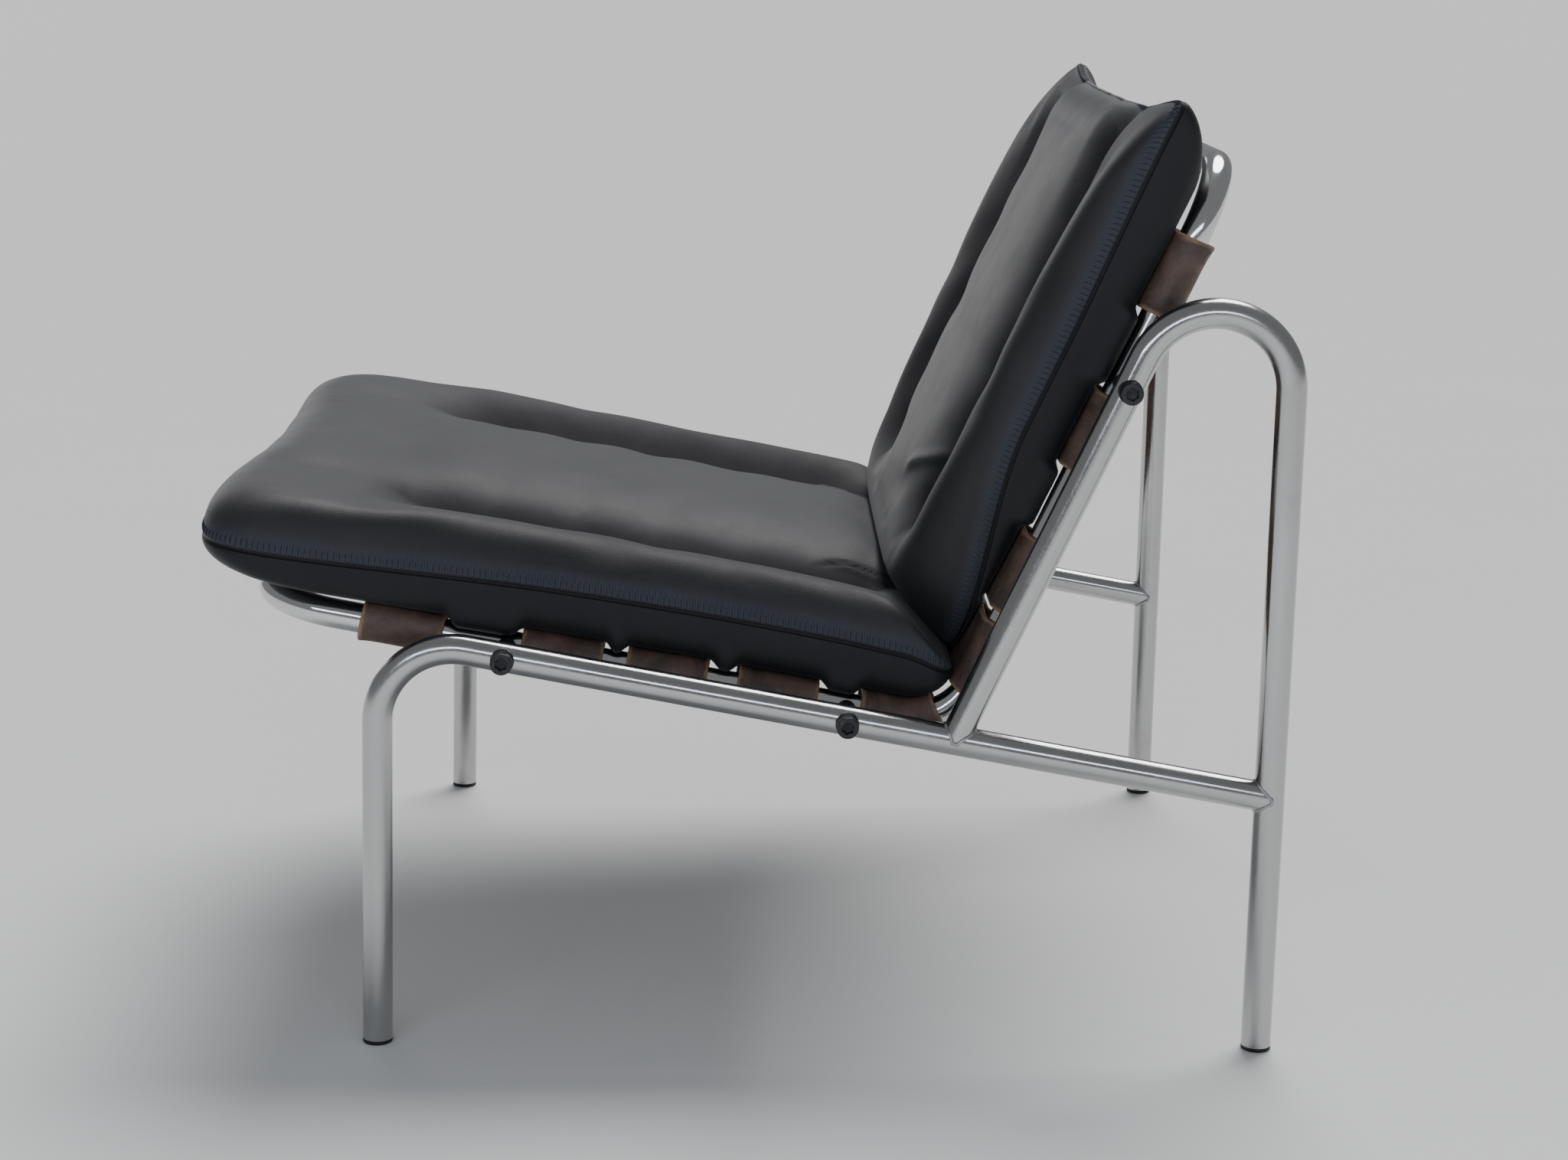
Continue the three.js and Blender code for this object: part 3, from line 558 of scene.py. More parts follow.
def cover_finish(name, colour, shaded_side_colour, stitch_spacing):
    """Charcoal leather: pebbled grain, rubbed lighter on top, with painted shade that darkens it in and beside the
    channels, where its finish is also duller, painted shade that makes the sides a darker blue-black, a painted bluish
    sheen in a band just above the seam, a dark seam line and the ladder of puckers that its cross stitches pull.

    The surface map holds the place along the seam and the distance off it, both in metres: above it towards the face,
    below it down the side. The channel attribute is one in the channels and falls to nothing off them."""
    nodes = Nodes(name)
    place = nodes.object_place()
    along, off, _ = nodes.split(nodes.surface_place())
    grain = nodes.cells(place, 1250.0)
    pores = nodes.noise(place, 900.0, 3.0, 0.6)
    clouds = nodes.noise(place, 7.0, 4.0, 0.55)
    rub = nodes.noise(place, 38.0, 5.0, 0.65, 0.5)
    shaded_side_mask = nodes.ramp(off, 0.004, -0.001)
    top = nodes.mix(nodes.ramp(clouds, 0.3, 0.72), scaled(colour, 0.86), scaled(colour, 1.16))
    top = nodes.mix(nodes.ramp(rub, 0.5, 0.8, 0.0, 0.18), top, scaled(colour, 1.6))
    # Painted shade: the colour is darkened by up to half in and beside the channels, where the channel attribute is
    # high
    channel = nodes.attribute("channel")
    top = nodes.mix(nodes.times(channel, 0.5), top, scaled(colour, 0.5))
    # Painted shade: below the seam the sides take the darker, bluer copy of the colour
    body = nodes.mix(shaded_side_mask, top, tuple(shaded_side_colour))
    # Painted sheen: a lighter bluish band just above the seam
    painted_seam_sheen = nodes.times(nodes.ramp(off, 0.0, 0.003), nodes.ramp(off, 0.020, 0.005))
    body = nodes.mix(nodes.times(painted_seam_sheen, 0.8), body, (0.038, 0.045, 0.064))
    line = nodes.ramp(nodes.math("ABSOLUTE", off), 0.0012, 0.0004)
    nodes.colour(nodes.mix(line, body, (0.003, 0.003, 0.004)))
    nodes.roughness(nodes.math("ADD", nodes.ramp(rub, 0.3, 0.8, 0.50, 0.56), nodes.times(channel, 0.30)))
    nodes.feed(nodes.ramp(channel, 0.0, 0.9, 0.31, 0.11), nodes.shader.inputs["Specular IOR Level"])
    nodes.set(Sheen_Weight=0.08, Sheen_Roughness=0.45)
    wave = nodes.math("SINE", nodes.times(along, 2 * math.pi / stitch_spacing))
    band = nodes.times(nodes.ramp(off, 0.0005, 0.002), nodes.ramp(off, 0.0125, 0.007))
    ladder = nodes.times(nodes.ramp(wave, -0.8, 0.8), band)
    groove = nodes.ramp(nodes.math("ABSOLUTE", off), 0.0002, 0.0022)
    fine = nodes.bump(grain, 0.00025, 0.35)
    fine = nodes.bump(pores, 0.0003, 0.25, fine)
    fine = nodes.bump(ladder, 0.0009, 0.6, fine)
    fine = nodes.bump(rub, 0.0010, 0.25, fine)
    nodes.normal(nodes.bump(groove, 0.0016, 0.8, fine))
    return nodes.material


def thread_finish(name):
    """Waxed black thread with a twist."""
    nodes = Nodes(name)
    place = nodes.object_place()
    twist = nodes.noise(place, 1600.0, 2.0, 0.5)
    nodes.colour(nodes.mix(nodes.ramp(twist, 0.4, 0.7), (0.012, 0.012, 0.016), (0.035, 0.036, 0.046)))
    nodes.roughness(0.5)
    nodes.normal(nodes.bump(twist, 0.0002, 0.5))
    return nodes.material


# Side frames, ring and joints

TUBE_SIDES = 48
FRAME_BEND_STEPS, RING_BEND_STEPS = 26, 30
COPE_BITE = 0.0002
BEAD_SIZE = 0.0013


def side_point(side_x, direction, reach):
    """A point on the rail's or the back tube's centre line."""
    place = seat_points if direction == "seat" else back_points
    return place(side_x, reach, 0.0)


def leg_corners(side):
    """Corners of the front leg and rail, and of the back tube and rear leg, on their centre lines."""
    x = side * HALF_FRAME
    slope = math.tan(RAIL_DROP)
    lean = math.tan(FRONT_LEG_SPLAY)
    spread = REAR_LEG_Y - FRONT_LEG_Y
    top = (RAIL_WELD_HEIGHT + spread * slope) / (1 + lean * slope)
    apex = CORNER_Z + CORNER_SET_IN / math.tan(BACK_RAKE)
    foot = GLIDE_HEIGHT + GAP
    front = [
        (x, FRONT_LEG_Y + foot * lean, foot), (x, FRONT_LEG_Y + top * lean, top), (x, REAR_LEG_Y, RAIL_WELD_HEIGHT)
    ]
    back = [(x, CORNER_Y, CORNER_Z), (x, REAR_LEG_Y, apex), (x, REAR_LEG_Y, foot)]
    return front, back


def build_side_frames(sizes, colours):
    radius = sizes.tube_diameter / 2
    bore = radius - sizes.tube_wall
    steel = steel_finish("dulled_steel", colours.steel, 0.10, 0.18, 0.11)
    bead_steel = steel_finish("weld_steel", scaled(colours.steel, 0.85), 0.25, 0.45, 0.2)
    up = np.array((0.0, 0.0, 1.0))
    rail = seat_points(0.0, 1.0, 0.0) - seat_points(0.0, 0.0, 0.0)
    mate_radius = radius - COPE_BITE
    for side_name, side in SIDES:
        front, back = leg_corners(side)
        rear_leg, rail_top = (front[2], up, mate_radius), (back[0], rail, mate_radius)
        front_path = bent_path(front, (1, 0, 0), FRAME_BEND_STEPS)
        back_path = bent_path(back, (1, 0, 0), FRAME_BEND_STEPS)
        front_tube = hollow_tube(front_path, radius, bore, TUBE_SIDES, cope_end=rear_leg)
        back_tube = hollow_tube(back_path, radius, bore, TUBE_SIDES, cope_start=rail_top)
        for name, tube in (("front_leg_and_rail", front_tube), ("back_arch_and_rear_leg", back_tube)):
            node = f"{name}_{side_name}"
            mesh = mesh_from(node + "_tube", *tube, smooth_angle=math.radians(40))
            add_piece(node + "_tube", mesh, steel, [node])
        welds = (("rail", front_path, -1, 1.0, rear_leg), ("back_tube", back_path, 0, -1.0, rail_top))
        for place, path, end, way, mate in welds:
            name = f"weld_{place}_{side_name}"
            own = path[1][end] * way
            ring = coped(tube_rings(path, radius, 2 * TUBE_SIDES)[end], own, *mate)
            bead = weld_bead(ring, path[0][end], own, *mate[:2], BEAD_SIZE)
            add_piece(name, mesh_from(name, *bead), bead_steel)


def ring_path():
    """The closed line of the sling ring: along both rails, round the front, and round the top of the back."""
    corners = [
        side_point(-HALF_RING, "seat", SEAT_REACH),
        side_point(-HALF_RING, "seat", 0.0),
        side_point(-HALF_RING, "back", BACK_REACH),
        side_point(HALF_RING, "back", BACK_REACH),
        side_point(HALF_RING, "seat", 0.0),
        side_point(HALF_RING, "seat", SEAT_REACH),
    ]
    face = unit(seat_points(0.0, 0.0, 1.0) - seat_points(0.0, 0.0, 0.0))
    return bent_path(corners, face, RING_BEND_STEPS, closed=True)


def build_sling_ring(sizes, colours):
    rings = tube_rings(ring_path(), sizes.tube_diameter / 2, TUBE_SIDES)
    faces = grid_faces(*rings.shape[:2], wrap_rows=True, wrap_columns=True)
    mesh = mesh_from("sling_ring_tube", rings, faces)
    steel = steel_finish("bright_steel", colours.bright_steel, 0.05, 0.11, 0.10)
    add_piece("sling_ring_tube", mesh, steel, ["sling_ring"])


BOLTS = (("front", "seat", FRONT_BOLT_REACH), ("middle", "seat", REAR_BOLT_REACH), ("back", "back", BACK_BOLT_REACH))
BOLT_HOLE = 0.0055
WASHER_RADIUS, WASHER_CREST = 0.0086, 0.0008
SPACER_RADIUS = 0.008


def turned_rings(profile, sides, radius_at=None):
    """Circles of a lathe profile of (radius, place) steps about the X axis.

    The function radius_at, where there is one, changes the steps' radii with the angle."""
    angle = np.linspace(0, 2 * math.pi, sides, endpoint=False)
    profile = np.asarray(profile, float)
    radius = np.repeat(profile[:, :1], sides, 1)
    if radius_at is not None:
        radius = radius_at(radius, angle)
    place = np.repeat(profile[:, 1:], sides, 1)
    return np.stack([place, radius * np.cos(angle), radius * np.sin(angle)], -1)


def cap_screw_rings(head_base):
    """Socket cap screw along +X: hexagon recess, chamfered knurled head, shank.

    The recess steps take the hexagon's radius at each angle, half the flats over the cosine of the angle from the
    nearest flat. The knurl lowers the head's side between its ridges."""
    head, height, shank, length = 0.008, 0.010, 0.005, 0.050
    flats, depth = 0.004, 0.005
    top = head_base + height
    profile = [
        (0.0004, top - depth - 0.001), (flats, top - depth), (flats, top - 0.0004), (flats + 0.0006, top),
        (head - 0.0012, top), (head - 0.0004, top - 0.0003), (head, top - 0.0011), (head, top - 0.0016),
        (head, head_base + 0.0012), (head, head_base + 0.0008), (head - 0.0003, head_base), (shank, head_base),
        (shank, head_base - length + 0.001), (shank - 0.001, head_base - length),
    ]
    ridges = 36

    def radius_at(radius, angle):
        flat_angle = (angle + math.pi / 6) % (math.pi / 3) - math.pi / 6
        radius[1:3] = flats / np.cos(flat_angle)
        radius[3] = np.maximum(flats / np.cos(flat_angle) + 0.0003, radius[3])
        radius[7:9] -= 0.00035 * (0.5 + 0.5 * np.cos(ridges * angle))
        return radius

    return turned_rings(profile, ridges * 4, radius_at)


def sleeve_rings(outer, inner, low_mate, high_mate, low, high):
    """A turned sleeve along +X whose ends lie on the tubes beside it.

    An end on a tube lies at the tube's middle plus or minus the root of its squared radius less the squared distance
    off the tube's line."""
    sides = 72
    angle = np.linspace(0, 2 * math.pi, sides, endpoint=False)
    edge = 0.0004

    def end(radius, mate, place):
        if mate is None:
            return np.full(sides, place)
        middle, sign, tube = mate
        return middle + sign * np.sqrt(tube ** 2 - (radius * np.sin(angle)) ** 2)

    steps = [
        (inner, low_mate, low, 0.0), (outer - edge, low_mate, low, 0.0), (outer, low_mate, low, edge),
        (outer, high_mate, high, -edge), (outer - edge, high_mate, high, 0.0), (inner, high_mate, high, 0.0),
    ]
    rings = [
        np.stack([end(radius, mate, place) + nudge, radius * np.cos(angle), radius * np.sin(angle)], -1)
        for radius, mate, place, nudge in steps
    ]
    return np.stack(rings)


def stood_at(rings, side, direction, reach):
    """A turned piece stood at its joint, drawn outward along +X from the side tube's line, with +Y along the tube."""
    place = side_point(side * HALF_FRAME, direction, reach)
    along = unit(side_point(0.0, direction, 1.0) - side_point(0.0, direction, 0.0))
    across = np.cross((1.0, 0.0, 0.0), along)
    out = np.array((float(side), 0.0, 0.0))
    return place + rings[..., :1] * out + rings[..., 1:2] * along + rings[..., 2:] * across


def build_bolted_joints(sizes, colours):
    on_tube = sizes.tube_diameter / 2 + GAP
    black = black_finish("black_steel", colours.black_steel)
    zinc = steel_finish("plated_insert", (0.55, 0.54, 0.50), 0.25, 0.4, 0.1)
    face = on_tube + WASHER_CREST
    screw = cap_screw_rings(face + GAP)
    washer = sleeve_rings(WASHER_RADIUS, BOLT_HOLE, (0.0, 1, on_tube), None, 0.0, face)
    spacer = sleeve_rings(SPACER_RADIUS, BOLT_HOLE, (-RING_INSET, 1, on_tube), (0.0, -1, on_tube), 0.0, 0.0)
    for side_name, side in SIDES:
        for place_name, direction, reach in BOLTS:
            label = f"{place_name}_{side_name}"
            skin = capped(stood_at(screw, side, direction, reach))
            mesh = mesh_from(f"screw_{label}", *skin, smooth_angle=math.radians(35))
            add_piece(f"screw_{label}", mesh, black, [f"cap_screw_{label}"])
            for name, node, sleeve in (("washer", "saddle_washer", washer), ("spacer_sleeve", "spacer", spacer)):
                rings = stood_at(sleeve, side, direction, reach)
                faces = grid_faces(*rings.shape[:2], wrap_rows=True, wrap_columns=True)
                mesh = mesh_from(f"{name}_{label}", rings, faces, smooth_angle=math.radians(35))
                add_piece(f"{name}_{label}", mesh, black, [f"{node}_{label}"])
            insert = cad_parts[f"threaded_insert_{label}"]
            insert.data.materials.clear()
            insert.data.materials.append(zinc)


def build_glides(sizes, colours):
    plastic = plastic_finish("black_plastic")
    radius = sizes.tube_diameter / 2
    stem = radius - sizes.tube_wall - 0.0005
    top = GLIDE_HEIGHT
    profile = [
        (0.002, 0.0), (radius - 0.0012, 0.0), (radius - 0.0004, 0.0003), (radius, 0.0010), (radius, top - 0.0002),
        (radius - 0.0002, top), (stem, top), (stem, top + 0.013), (stem - 0.001, top + 0.014),
    ]
    rings = turned_rings(profile, TUBE_SIDES)
    rings = np.stack([rings[..., 1], rings[..., 2], rings[..., 0]], -1)
    for side_name, side in SIDES:
        for end_name, y in (("front", FRONT_LEG_Y), ("rear", REAR_LEG_Y)):
            node = f"glide_{end_name}_{side_name}"
            place = rings + np.array((side * HALF_FRAME, y, 0.0))
            mesh = mesh_from(node + "_foot", *capped(place), smooth_angle=math.radians(35))
            add_piece(node + "_foot", mesh, plastic, [node])


# Straps

# Start and end of each strap as shares of the bay between two bolts, or between a bolt and the ring's end
FRONT_BAY_STRAPS = ((0.158, 0.669),)
MIDDLE_BAY_STRAPS = ((0.0065, 0.261), (0.34, 0.5945), (0.6855, 0.94))
BEND_BAY_STRAPS = ((0.0062, 0.1865), (0.2538, 0.4341), (0.4572, 0.6375), (0.8085, 0.9888))
TOP_BAY_STRAPS = ((0.441, 1.025),)
BOLT_CLEARANCE = 0.008
LAP_IN = (0.040, 0.084)
RIVETS_IN = (0.052, 0.074)
RIVET_SHARES = (0.28, 0.72)
RIVET_RADIUS, RIVET_RISE = 0.0042, 0.0014


def strap_spans():
    """Start and end of every strap along the sling, from its shares of the bays.

    A reach is longer than the way along the sling by what the bend saves."""
    saving = BEND_REACH - HALF_BEND
    front_end, back_end = SEAT_REACH - BEND_RADIUS - saving, BACK_REACH - BEND_RADIUS - saving
    front_bolt, rear_bolt, back_bolt = FRONT_BOLT_REACH - saving, REAR_BOLT_REACH - saving, BACK_BOLT_REACH - saving
    bays = (
        (-front_end, -front_bolt - BOLT_CLEARANCE, FRONT_BAY_STRAPS),
        (BOLT_CLEARANCE - front_bolt, -rear_bolt - BOLT_CLEARANCE, MIDDLE_BAY_STRAPS),
        (BOLT_CLEARANCE - rear_bolt, back_bolt - BOLT_CLEARANCE, BEND_BAY_STRAPS),
        (back_bolt + BOLT_CLEARANCE, back_end, TOP_BAY_STRAPS),
    )
    return [(lerp(start, end, a), lerp(start, end, b)) for start, end, straps in bays for a, b in straps]


def strap_height(x, sizes):
    """Height of a strap's middle above the ring's centre line, hanging by a raised cosine between the ring's sides."""
    hang = (1 + np.cos(math.pi * np.minimum(np.abs(x) / HALF_RING, 1))) / 2
    return sizes.tube_diameter / 2 + GAP + sizes.strap_thickness / 2 - sizes.strap_sag * hang


def strap_line(sizes):
    """Half of a strap's middle line from the chair's middle: run, wrap round the tube, lap under the run.

    Returns its points across and off the sling, and how far each is into the turn round the tube, from 0 to 1."""
    wrap = sizes.tube_diameter / 2 + GAP + sizes.strap_thickness / 2
    run_x = HALF_RING * np.linspace(0, 1, 25)[:-1]
    run = np.stack([run_x, strap_height(run_x, sizes)], -1)
    drop = sizes.strap_thickness + GAP
    lap_start, lap_end = (HALF_RING - x_in for x_in in LAP_IN)
    low = float(strap_height(np.array(lap_start), sizes)) - drop
    to_lap = math.atan2(low, lap_start - HALF_RING)
    far = math.hypot(low, lap_start - HALF_RING)
    wrap_end = to_lap % (2 * math.pi) + math.acos(wrap / far) - 2 * math.pi
    angle = np.linspace(math.pi / 2, wrap_end, 29)
    turn = np.stack([HALF_RING + wrap * np.cos(angle), wrap * np.sin(angle)], -1)
    lap_x = np.linspace(lap_start, lap_end, 7)
    lap = np.stack([lap_x, strap_height(lap_x, sizes) - drop], -1)
    line = np.concatenate([run, turn, lap])
    turned = np.concatenate([np.zeros(len(run)), np.linspace(0, 1, len(turn)), np.linspace(1, 0.3, len(lap))])
    return line, turned


def strap_skin(span, sizes, seed):
    """One strap: a rounded rectangular section, as wide as the span along the sling, carried along the strap's line.

    Each point is the sling's line at its distance, plus the strap's place across the chair, plus its height along the
    sling's face. The edges lift off the tube by the curl times the fourth power of the share across, most where the
    leather turns under the tube."""
    half, turned = strap_line(sizes)
    line = np.concatenate([half[1:][::-1] * (-1, 1), half])
    turned = np.concatenate([turned[1:][::-1], turned])
    tangent = unit(np.gradient(line, axis=0))
    normal = np.stack([-tangent[:, 1], tangent[:, 0]], -1)
    length = np.concatenate([[0], np.cumsum(np.linalg.norm(np.diff(line, axis=0), axis=1))])
    rng = np.random.default_rng(seed)
    phase = rng.uniform(0, 2 * math.pi, 4)

    thick, width = sizes.strap_thickness, span[1] - span[0]
    edge = thick * 0.42
    steps = 25
    flat = np.linspace(-1, 1, steps) * (1 - 2 * edge / width)
    bend = np.linspace(-math.pi / 2, math.pi / 2, 7)[1:-1]
    nose = 2 * edge / width * (1 - np.cos(bend))
    across = np.concatenate([flat, 1 - nose[::-1], flat[::-1], -1 + nose])
    half_sine = 0.5 * np.sin(bend)
    off = np.concatenate([np.full(steps, 0.5), half_sine[::-1], np.full(steps, -0.5), half_sine]) * thick
    worn = np.clip(np.abs(across), 0, 1)

    under = smoothstep(turned, 0.25, 0.75)[:, None]
    curl = sizes.strap_curl * np.abs(across[None]) ** 4 * under
    curl += 0.0006 * np.sin(length[:, None] / 0.021 + phase[0]) * np.abs(across[None]) ** 2 * under
    off = off[None] + curl
    wander = 0.0008 * np.sin(length / 0.055 + phase[1]) + 0.0005 * np.sin(length / 0.023 + phase[2])
    distance = lerp(span[0], span[1], (across[None] + 1) / 2) + wander[:, None]
    point, _, face = sling_frame(distance)
    across_chair = line[:, None, 0] + normal[:, None, 0] * off
    height = line[:, None, 1] + normal[:, None, 1] * off
    rings = point + height[..., None] * face + across_chair[..., None] * np.array((1.0, 0.0, 0.0))
    uv = np.stack([np.repeat(length[:, None], across.size, 1), np.repeat(worn[None], line.shape[0], 0)], -1)
    points, faces = capped(rings)
    uv = np.concatenate([uv.reshape(-1, 2), uv[[0, -1], 0]])
    return points, faces, uv


def rivet_rings(span, sizes, side):
    """Domed rivet heads under both ends of a lap: each ring's radius falls and its place rises by a quarter circle."""
    turn = np.linspace(0, math.pi / 2, 6)
    radius = RIVET_RADIUS * np.cos(turn) + 0.00005
    radius = np.concatenate([[radius[0]], radius])[:, None, None]
    rise = RIVET_RISE * np.sin(turn)
    angle = np.linspace(0, 2 * math.pi, 20, endpoint=False)
    chairwise = np.array((1.0, 0.0, 0.0))
    parts = []
    for x_in in RIVETS_IN:
        x = side * (HALF_RING - x_in)
        low = float(strap_height(np.array(x), sizes)) - sizes.strap_thickness * 1.5 - GAP
        levels = np.concatenate([[low + 0.001], low - rise])
        for share in RIVET_SHARES:
            point, along, face = sling_frame(lerp(span[0], span[1], share))
            spoke = np.cos(angle)[None, :, None] * chairwise + np.sin(angle)[None, :, None] * along
            parts.append(capped(point + x * chairwise + radius * spoke + levels[:, None, None] * face))
    return parts


def build_straps(sizes, colours):
    saddle = saddle_finish("saddle_leather", colours.saddle)
    rivet = steel_finish("rivet_copper", (0.42, 0.24, 0.15), 0.28, 0.45, 0.15)
    counts = {"seat": 0, "back": 0}
    for i, span in enumerate(strap_spans()):
        part = "seat" if sum(span) < 0 else "back"
        counts[part] += 1
        node = f"{part}_strap_{counts[part]}"
        points, faces, uv = strap_skin(span, sizes, 11 + i)
        mesh = mesh_from(node + "_leather", points, faces, uv=uv)
        add_piece(node + "_leather", mesh, saddle, [node])
        heads = several([part for side in (-1, 1) for part in rivet_rings(span, sizes, side)])
        add_piece(node + "_rivets", mesh_from(node + "_rivets", *heads), rivet)


# Cushions

# Grid of a cap, its column on the channel, and the steps of the band from the face to the seam and on to the underside
CAP_COLUMNS, CAP_ROWS = 92, 84
CAP_POINTS = (CAP_COLUMNS + 1) * (CAP_ROWS + 1)
CHANNEL_COLUMN = 31
CHANNEL_SHARE = CHANNEL_COLUMN / (CAP_COLUMNS / 2)
CHANNEL_X = 0.183
FACE_STEPS = (0.12, 0.24, 0.36, 0.48, 0.59, 0.69, 0.78, 0.86, 0.92, 0.965)
SIDE_STEPS = (0.05, 0.14, 0.28, 0.46, 0.66, 0.86)

# Where the cushions rest: their base over the sling's line, and the planes in which the back's foot meets the seat
CUSHION_BASE = 0.0156
BACK_FOOT = 0.040
BACK_FOOT_TILT = math.radians(24.4)
MEETING_LEAN = math.radians(14.09)
MEETING_TILT = MEETING_LEAN + BACK_FOOT_TILT
STRAP_REST = 0.0133

# Least distances from the ring's line to a cushion's lower edge, over a strap, over the bare ring and over a spacer
STRAP_CLEARANCE, RING_CLEARANCE, SPACER_CLEARANCE = 0.0157, 0.0119, 0.0100
EDGE_FALL = 0.0038
MOST_FILLING = 0.024
# Width of the painted shade beside the channels
PAINTED_SHADE_REACH = 0.036
SEAM_GROOVE = 0.0008
THREAD_RADIUS = 0.00042


def sling_rest(form, x, reach, sizes):
    """Height at which a cushion rests on the sling: the straps' sagging top, level again over the ring's end bend and
    rising round its middle bend."""
    sag = STRAP_REST - strap_height(x, sizes)
    fade = smoothstep(reach, form.far_reach - 0.055, form.far_reach - 0.022)
    depth = BEND_RADIUS - (CUSHION_BASE - sag * (1 - fade))
    inset = np.maximum(BEND_REACH - reach, 0)
    return BEND_RADIUS - np.sqrt(np.maximum(depth ** 2 - inset ** 2, 0))


def between_straps(form, reach, height):
    """One between two straps, nothing over a strap or beyond the last ones, from the distance along the sling.

    Round the ring's middle bend the distance is the bend's radius by the angle about its centre."""
    angle = np.arctan2(np.maximum(BEND_REACH - reach, 0), np.maximum(BEND_RADIUS - height, 1e-4))
    round_bend = BEND_RADIUS * angle
    distance = form.sign * (np.maximum(reach - BEND_REACH, 0) + HALF_BEND - round_bend)
    spans = strap_spans()
    held = ((distance < min(spans)[0]) | (distance > max(spans)[0])).astype(float)
    for start, end in spans:
        over = smoothstep(distance, start - 0.009, start + 0.001) * smoothstep(distance, end + 0.009, end - 0.001)
        held = np.maximum(held, over)
    return 1 - held


def drawn_in(share):
    """How far a long side pulls in between its corners, one at three tenths of its length from the rear."""
    share = np.clip(share, 0, 1)
    return share ** 0.6 * (1 - share) ** 1.4 / (0.3 ** 0.6 * 0.7 ** 1.4)


class SeatForm:
    """The seat cushion's outline, seam and channels in seat measures."""

    name = "seat_cushion"
    place = staticmethod(seat_points)
    sign = -1
    far_reach = SEAT_REACH
    rim_power, seam_power = 9.0, 13.0
    insets, under_insets = (0.028, 0.052, 0.049), (0.014, 0.004, 0.046)
    bellies, under_bellies = (0.001, 0.0, 0.003), (0.0015, 0.001, 0.0)
    side_profile, end_profile = 0.96, 0.76
    under_side_profile, under_end_profile = 0.6, 0.95
    middle_height, crease_height, crest_height, plain_height = 0.0885, 0.0635, 0.0855, 0.0805
    end_heights, gather = (0.0820, 0.0810), 0.0040
    channel_start, channel_end = 0.030, 0.466
    hang_out, hang_down = 0.005, 0.0070

    def near(self, a):
        return np.full_like(a, 0.0057)

    def far(self, a):
        return 0.560 + 0.012 * a ** 2

    def half(self, share):
        return lerp(0.300, 0.312, share) - 0.015 * drawn_in(share)

    def channel_x(self, reach):
        return CHANNEL_X - 0.025 * (1 - smoothstep(reach, 0.02, 0.10))

    def far_inset(self, a):
        return np.full_like(a, self.insets[2])

    def rounding(self, power, b):
        """The corners' power, three times as square at the rear."""
        return power * lerp(1.0, 3.0, smoothstep(b, -0.5, -0.95))

    def seam(self, reach):
        share = np.clip(reach / 0.56, 0, 1)
        middle = 0.0445 + 0.006 * drawn_in(share) - 0.006 * smoothstep(share, 0.5, 1.0)
        return lerp(0.042, middle, smoothstep(reach, 0.006, BEND_REACH))

    def creases(self, x, reach, distance):
        """Two folds that the back cushion pushes up at the rear end of each channel, as moves in height."""
        aside = np.abs(x) - CHANNEL_X + 0.024
        bow = 0.010 * np.sin(math.pi * np.clip((reach - 0.045) / 0.075, 0, 1))
        folds = ridge(aside + 0.004 + bow, reach, 0.0032, 0.046, 0.122)
        folds = folds + 0.8 * ridge(aside - 0.004 + 0.7 * bow, reach, 0.0030, 0.050, 0.105)
        hollow = ridge(aside + 0.0005 + 0.85 * bow, reach, 0.0030, 0.048, 0.115)
        lift = (0.0032 * folds - 0.0020 * hollow) * (distance > 0.03)
        return lift

    def kept_clear(self, points):
        """Points held under the plane on which the back cushion's foot rests."""
        start_reach = CUSHION_BASE * math.cos(MEETING_LEAN) - BACK_FOOT * math.sin(MEETING_LEAN)
        start_height = BACK_FOOT * math.cos(MEETING_LEAN) + CUSHION_BASE * math.sin(MEETING_LEAN)
        plane = start_height + (points[..., 1] - start_reach) * math.tan(MEETING_TILT) - GAP / math.cos(MEETING_TILT)
        points[..., 2] = np.minimum(points[..., 2], np.maximum(plane, self.seam(points[..., 1])))
        return points

    def meets(self, points):
        return points[..., 1] < 0.050


